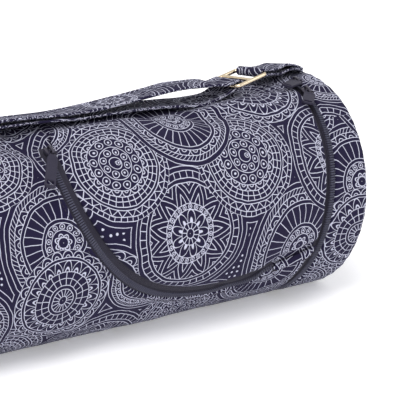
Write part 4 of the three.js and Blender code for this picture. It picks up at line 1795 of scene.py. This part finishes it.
class Zips:
    """Both zips with their tapes, coils, sliders and pulls."""

    # Across the coil's bed and out from its level.
    BED = ((-2.9, -0.5), (-2.5, 0), (-1.9, 0.1), (1.9, 0.1), (2.5, 0), (2.9, -0.5))
    BED_WALL = 0.5
    END_BED = 0.9
    POCKET_BED = 0.8
    END_TAPE_HID = 2.6
    END_TAPE_RIGHT = 2.8
    TEETH_LIFT = 0.55
    # Beside the pocket zip's line and out from the cloth.
    WELT = (
        (-3.5, 0.4),
        (-3.25, 1.6),
        (-3.5, 2.6),
        (-4.2, 3.1),
        (-5.4, 3.05),
        (-7, 2.5),
        (-9, 1.7),
        (-11.5, 0.9),
        (-14, 0.3),
        (-17, -0.3),
    )
    WELT_WALL = 0.5
    # The seam: along the bag in millimetres and round it in degrees.
    SEAM = ((252.0, -26.5), (262.0, -25.0), (274.0, -23.0))
    SEAM_END = (7, -20.5)
    SEAM_STEPS = 60
    SEAM_FADE = 0.14
    SEAM_LIFT = 3.4
    # Below the seam's line and out from the cloth.
    FOLD = ((-6, -0.4), (-3.6, 0.8), (-1.6, 1.9), (-0.2, 2.4), (0.6, 2.0), (0.5, 1.1), (0.1, 0.4))
    FOLD_WALL = 0.4
    # The dark strip of painted shade beside the fold: below the seam's line and out from the cloth.
    SHADE = ((-0.3, 3.9), (0.5, 4.6), (1.6, 4.6), (2.3, 3.2))
    SHADE_WALL = 0.3
    STITCH = 2.3
    STITCH_PITCH = 3.2
    STITCH_OFF_TAPE = 2.2
    STITCH_SIDES = 6
    # Along a stitch as shares of its length, with its half width there.
    STITCH_RINGS = ((0, 0.05), (0.2, 0.3), (0.5, 0.36), (0.8, 0.3), (1, 0.05))
    STITCH_ARCH = 0.2
    WELT_STITCHES = (-6.4, 2.95)
    BAG_MIDDLE = (0.004, 0.082)

    def __init__(self, form: BagForm = FORM) -> None:
        """Takes the bag's shape."""
        self.form = form
        self.path = PocketZipPath(form)
        self.tape_top = -form.cloth - form.clear
        self.end_top = self.tape_top + form.clear + form.coil_thick
        self.pocket_top = form.pocket_seat + form.tape_thick + form.clear + form.coil_thick

    def _end_line(self, offset: float, out: float) -> np.ndarray:
        """Points along the end zip."""
        f = self.form
        turns = np.array(stations([f.hinge_back - 360 + 0.3, f.hinge_front - 0.3], 1.0))
        return f.skin(np.full(len(turns), f.zip_at + offset), turns[::-1], out)

    def _dress_chain(
        self,
        wardrobe: Wardrobe,
        chain: ZipChain,
        tape: Sequence[tuple[float, float]],
        bed: float,
    ) -> None:
        """Makes and dresses a zip's tape, the bed of its coil and the coil's loops.

        Args:
            wardrobe: the finishes.
            chain: the zip.
            tape: pairs of an offset and a height across the tape.
            bed: the bed's height.
        """
        band = chain.band(tape, "_tape_cloth", self.form.tape_thick)
        wardrobe.dress(band, Slot.TAPE, [chain.name + "_tape"])
        marks = [(across, bed + out) for across, out in self.BED]
        wardrobe.dress(chain.band(marks, "_coil_bed", self.BED_WALL), Slot.TAPE)
        wardrobe.dress(chain.teeth(bed + self.TEETH_LIFT), Slot.COIL, [chain.name + "_coil"])

    def build(self, wardrobe: Wardrobe) -> None:
        """Makes and dresses every piece of the two zips."""
        f = self.form
        half, top, seat = f.coil_width / 2, self.tape_top, f.pocket_seat + f.tape_thick
        end = ZipChain("end_zip", self._end_line, (360 - f.hinge_back + f.hinge_front) / f.deg_per_mm)
        left, right = half + f.tape_shown + self.END_TAPE_HID, half + self.END_TAPE_RIGHT
        tape = [(-left, top), (-3.4, top + 0.1), (0, top + 0.1), (right, top)]
        self._dress_chain(wardrobe, end, tape, top + self.END_BED)
        pocket = ZipChain("pocket_zip", self.path.at, self.path.length)
        tape = [(-half - 3, seat), (-3.4, seat + 0.2), (3.4, seat + 0.2), (5.5, seat + 0.15), (11, seat)]
        self._dress_chain(wardrobe, pocket, tape, seat + self.POCKET_BED)
        wardrobe.dress(self._welt(), Slot.CLOTH)
        wardrobe.dress(self._seam(), Slot.CLOTH)
        # A dark strip of painted shade beside the seam's fold, in the tape's finish.
        wardrobe.dress(self._seam_shade(), Slot.TAPE)
        wardrobe.dress(self._stitching(), Slot.TAPE)
        end_out, pocket_out = self.end_top + f.clear, self.pocket_top + f.clear
        for spec in (
            PullSpec("end_zip_upper", f.zip_at, f.hinge_front - 4.5, end_out, -60, -8, 20, 9),
            PullSpec("end_zip_lower", f.zip_at, f.hinge_front - 15.5, end_out, -36, -8, 20, 9),
            PullSpec("pocket_zip", f.pocket_side + 2.5, f.pocket_side_turn + 10, pocket_out, -30, 3, 39, 8),
        ):
            SliderPair(spec).build(wardrobe)

    def _welt(self) -> bpy.types.Object:
        """The folded edge of the body's cloth along the pocket zip's outer side."""
        high = lerp(0.35, 1, smooth(0.0, 0.08, np.linspace(0, 1, len(self.path.line))))
        points = np.stack([self.path.at(offset, out * high) for offset, out in self.WELT], 1)
        flat = np.stack([self.path.flat(offset) for offset, _ in self.WELT], 1)
        return sheet("pocket_zip_welt", points, flat, self.WELT_WALL)

    def _seam_places(self) -> list[tuple[float, float]]:
        """The seam's places, up to its end beside the end zip."""
        back, turn = self.SEAM_END
        return [*self.SEAM, (self.form.zip_at - back, turn)]

    def _strip(
        self,
        name: str,
        line: tuple[np.ndarray, np.ndarray],
        section: Sequence[tuple[float, float | np.ndarray]],
        wall: float,
    ) -> bpy.types.Object:
        """A strip of cloth laid along a line on the bag.

        Args:
            name: the piece's name.
            line: the line's places along the bag and round it.
            section: pairs of an offset below the line and a height out from the cloth.
            wall: the strip's wall in millimetres.

        Returns:
            The strip.
        """
        f, (along, turn) = self.form, line
        points = np.stack([f.skin(along, turn - offset * f.deg_per_mm, out) for offset, out in section], 1)
        flat = np.stack([f.flat(along, turn - offset * f.deg_per_mm) for offset, _ in section], 1)
        return sheet(name, points, flat, wall)

    def _seam(self) -> bpy.types.Object:
        """The pressed seam that runs on from the pocket zip's end to the bag's end zip."""
        f = self.form
        knots = np.array([(along * f.deg_per_mm, turn, 0.0) for along, turn in self._seam_places()])
        curve = spline(knots, 1.0)
        share, steps = np.linspace(0, 1, self.SEAM_STEPS), np.linspace(0, 1, len(curve))
        line = np.interp(share, steps, curve[:, 0] / f.deg_per_mm), np.interp(share, steps, curve[:, 1])
        high = within((0, self.SEAM_FADE), (1 - self.SEAM_FADE, 1), share)
        section = [(offset, out * high + self.SEAM_LIFT) for offset, out in self.FOLD]
        return self._strip("pocket_seam_fold", line, section, self.FOLD_WALL)

    def _seam_shade(self) -> bpy.types.Object:
        """A dark strip of painted shade beside the seam's fold, dressed in the tape's dark finish."""
        places, turns = zip(*self._seam_places())
        along = np.linspace(places[0], places[-1], self.SEAM_STEPS)
        line = along, np.interp(along, places, turns)
        return self._strip("pocket_seam_shade", line, self.SHADE, self.SHADE_WALL)

    def _stitch(self, along: np.ndarray) -> list[np.ndarray]:
        """One stitch's points, ring by ring, round its places along the row."""
        run = directions(along[-1] - along[0])
        out = along[2] - np.array([along[2][0], *self.BAG_MIDDLE])
        side = directions(np.cross(run, out))
        lift = np.cross(side, run)
        lift = lift if lift.dot(out) > 0 else -lift
        turns = np.arange(self.STITCH_SIDES) * 2 * math.pi / self.STITCH_SIDES
        return [
            p + (side * math.cos(t) + lift * (math.sin(t) + self.STITCH_ARCH)) * wide * MM
            for p, (_, wide) in zip(along, self.STITCH_RINGS)
            for t in turns
        ]

    def _stitching(self) -> bpy.types.Object:
        """The rows of stitches beside both zips."""
        f, sides = self.form, self.STITCH_SIDES
        beside = f.coil_width / 2 + f.tape_shown + self.STITCH_OFF_TAPE
        turns = np.arange(f.hinge_back - 360 + 3, f.hinge_front - 20, 0.5)
        rows = [f.skin(np.full(len(turns), f.zip_at + side), turns, 0.25) for side in (-beside, beside)]
        rows.append(self.path.at(*self.WELT_STITCHES)[12:-6])
        points: list[np.ndarray] = []
        faces: list[tuple[int, ...]] = []
        for row in rows:
            reach = travelled(row) / MM
            for start in np.arange(1, reach[-1] - 3.4, self.STITCH_PITCH):
                places = [start + self.STITCH * share for share, _ in self.STITCH_RINGS]
                base = len(points)
                points += self._stitch(np.stack([np.interp(places, reach, row[:, c]) for c in range(3)], -1))
                for ring in range(base, base + sides * (len(places) - 1), sides):
                    for i in range(sides):
                        beyond = (i + 1) % sides
                        faces.append((ring + i, ring + sides + i, ring + sides + beyond, ring + beyond))
        return smooth_by_angle(tidy(link_mesh("zip_stitching", np.array(points), faces)), 60)


@dataclass(frozen=True)
class Lamp:
    """A square soft light."""

    name: str
    place: tuple[float, float, float]
    size: float
    power: float
    tint: tuple[float, float, float]


class Studio:
    """The pale floor, the soft lights and the camera at the photograph's angle."""

    EYE = (-698.3, -1453.8, 660.9)
    AZIMUTH = -0.5485
    ELEVATION = 0.3286
    FOCAL = 2345.9
    AXIS_AT = (156.0, 202.2)
    FRAME = 400
    SENSOR = 36
    LAMPS = (
        Lamp("key", (-0.6, -0.9, 2.3), 1.3, 33, (1, 0.99, 0.98)),
        Lamp("fill", (1.7, -1.1, 1.5), 1.2, 6, (0.96, 0.97, 1)),
    )
    LAMPS_AIM = (0.1, 0, 0.05)
    FLOOR_SIZE = 14
    FLOOR_GLOW = 0.26
    SKY_GLOW = 0.8

    def _camera(self) -> None:
        """Sets the camera at the photograph's eye and angle."""
        a, e = self.AZIMUTH, self.ELEVATION
        back = Vector((math.sin(a) * math.cos(e), -math.cos(a) * math.cos(e), math.sin(e)))
        right = Vector((0, 0, 1)).cross(back).normalized()
        up = back.cross(right)
        middle = self.FRAME / 2
        aim = -back * self.FOCAL + right * (middle - self.AXIS_AT[0]) + up * (self.AXIS_AT[1] - middle)
        camera = bpy.data.cameras.new("camera")
        camera.sensor_width = self.SENSOR
        camera.lens = self.FOCAL / self.FRAME * self.SENSOR
        camera.clip_end = 50
        made = bpy.data.objects.new("camera", camera)
        made.rotation_euler = aim.to_track_quat("-Z", "Y").to_euler()
        made.location = (Vector(self.EYE) + Vector((0, FORM.side_shift, 0))) * MM
        bpy.context.scene.collection.objects.link(made)
        bpy.context.scene.camera = made

    def _light(self, lamp: Lamp) -> None:
        """Hangs a lamp and turns it to the bag."""
        light = bpy.data.lights.new(lamp.name, "AREA")
        light.shape = "SQUARE"
        light.size = lamp.size
        light.energy = lamp.power
        light.color = lamp.tint
        made = bpy.data.objects.new(lamp.name, light)
        made.location = lamp.place
        aim = Vector(self.LAMPS_AIM) - Vector(lamp.place)
        made.rotation_euler = aim.to_track_quat("-Z", "Y").to_euler()
        bpy.context.scene.collection.objects.link(made)

    def _floor(self) -> None:
        """Lays a pale floor with a weak glow."""
        pick()
        bpy.ops.mesh.primitive_plane_add(size=self.FLOOR_SIZE)
        floor = bpy.context.object
        floor.name = "floor"
        g = Graph("pale_floor")
        tone = g.cloud(g.place(), 3.0)
        tone = g.blend(tone, (0.93, 0.93, 0.95, 1), (0.95, 0.95, 0.96, 1), "RGBA")
        g.surface(Base_Color=tone, Roughness=0.9, Specular_IOR_Level=0.0)
        g.surface(Emission_Color=(1, 1, 1, 1), Emission_Strength=self.FLOOR_GLOW)
        floor.data.materials.append(g.material)
        floor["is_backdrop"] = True

    def build(self) -> None:
        """Sets up the floor, the lights and the camera."""
        self._camera()
        self._floor()
        world = bpy.data.worlds.new("studio")
        world.use_nodes = True
        sky = world.node_tree.nodes["Background"]
        sky.inputs["Color"].default_value = (1, 1, 1, 1)
        sky.inputs["Strength"].default_value = self.SKY_GLOW
        bpy.context.scene.world = world
        bpy.context.scene.view_settings.view_transform = "Standard"
        for lamp in self.LAMPS:
            self._light(lamp)


def corners(bounds: Iterable[Sequence[float]]) -> list[list[float]]:
    """A box's corners as plain lists."""
    return [[float(x) for x in corner] for corner in bounds]


def main() -> None:
    """Builds every piece in order."""
    logging.basicConfig(level=logging.INFO, format="%(name)s: %(message)s")
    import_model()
    solid_box = corners(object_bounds())
    Studio().build()
    wardrobe = Wardrobe()
    wardrobe.dress(BodyCloth().build(), Slot.CLOTH, ["body_shell"])
    wardrobe.dress(EndDisc(1).build(), Slot.CLOTH, ["right_end_panel"])
    wardrobe.dress(EndDisc(-1).build(), Slot.CLOTH, ["left_end_panel"])
    wardrobe.dress(PocketPanel().build(), Slot.CLOTH, ["pocket_panel"])
    Zips().build(wardrobe)
    StrapSet().build(wardrobe)
    visual_box = corners(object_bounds())
    log.info("box of the solids %s, of the looks %s", solid_box, visual_box)


if __name__ == "__main__":
    main()
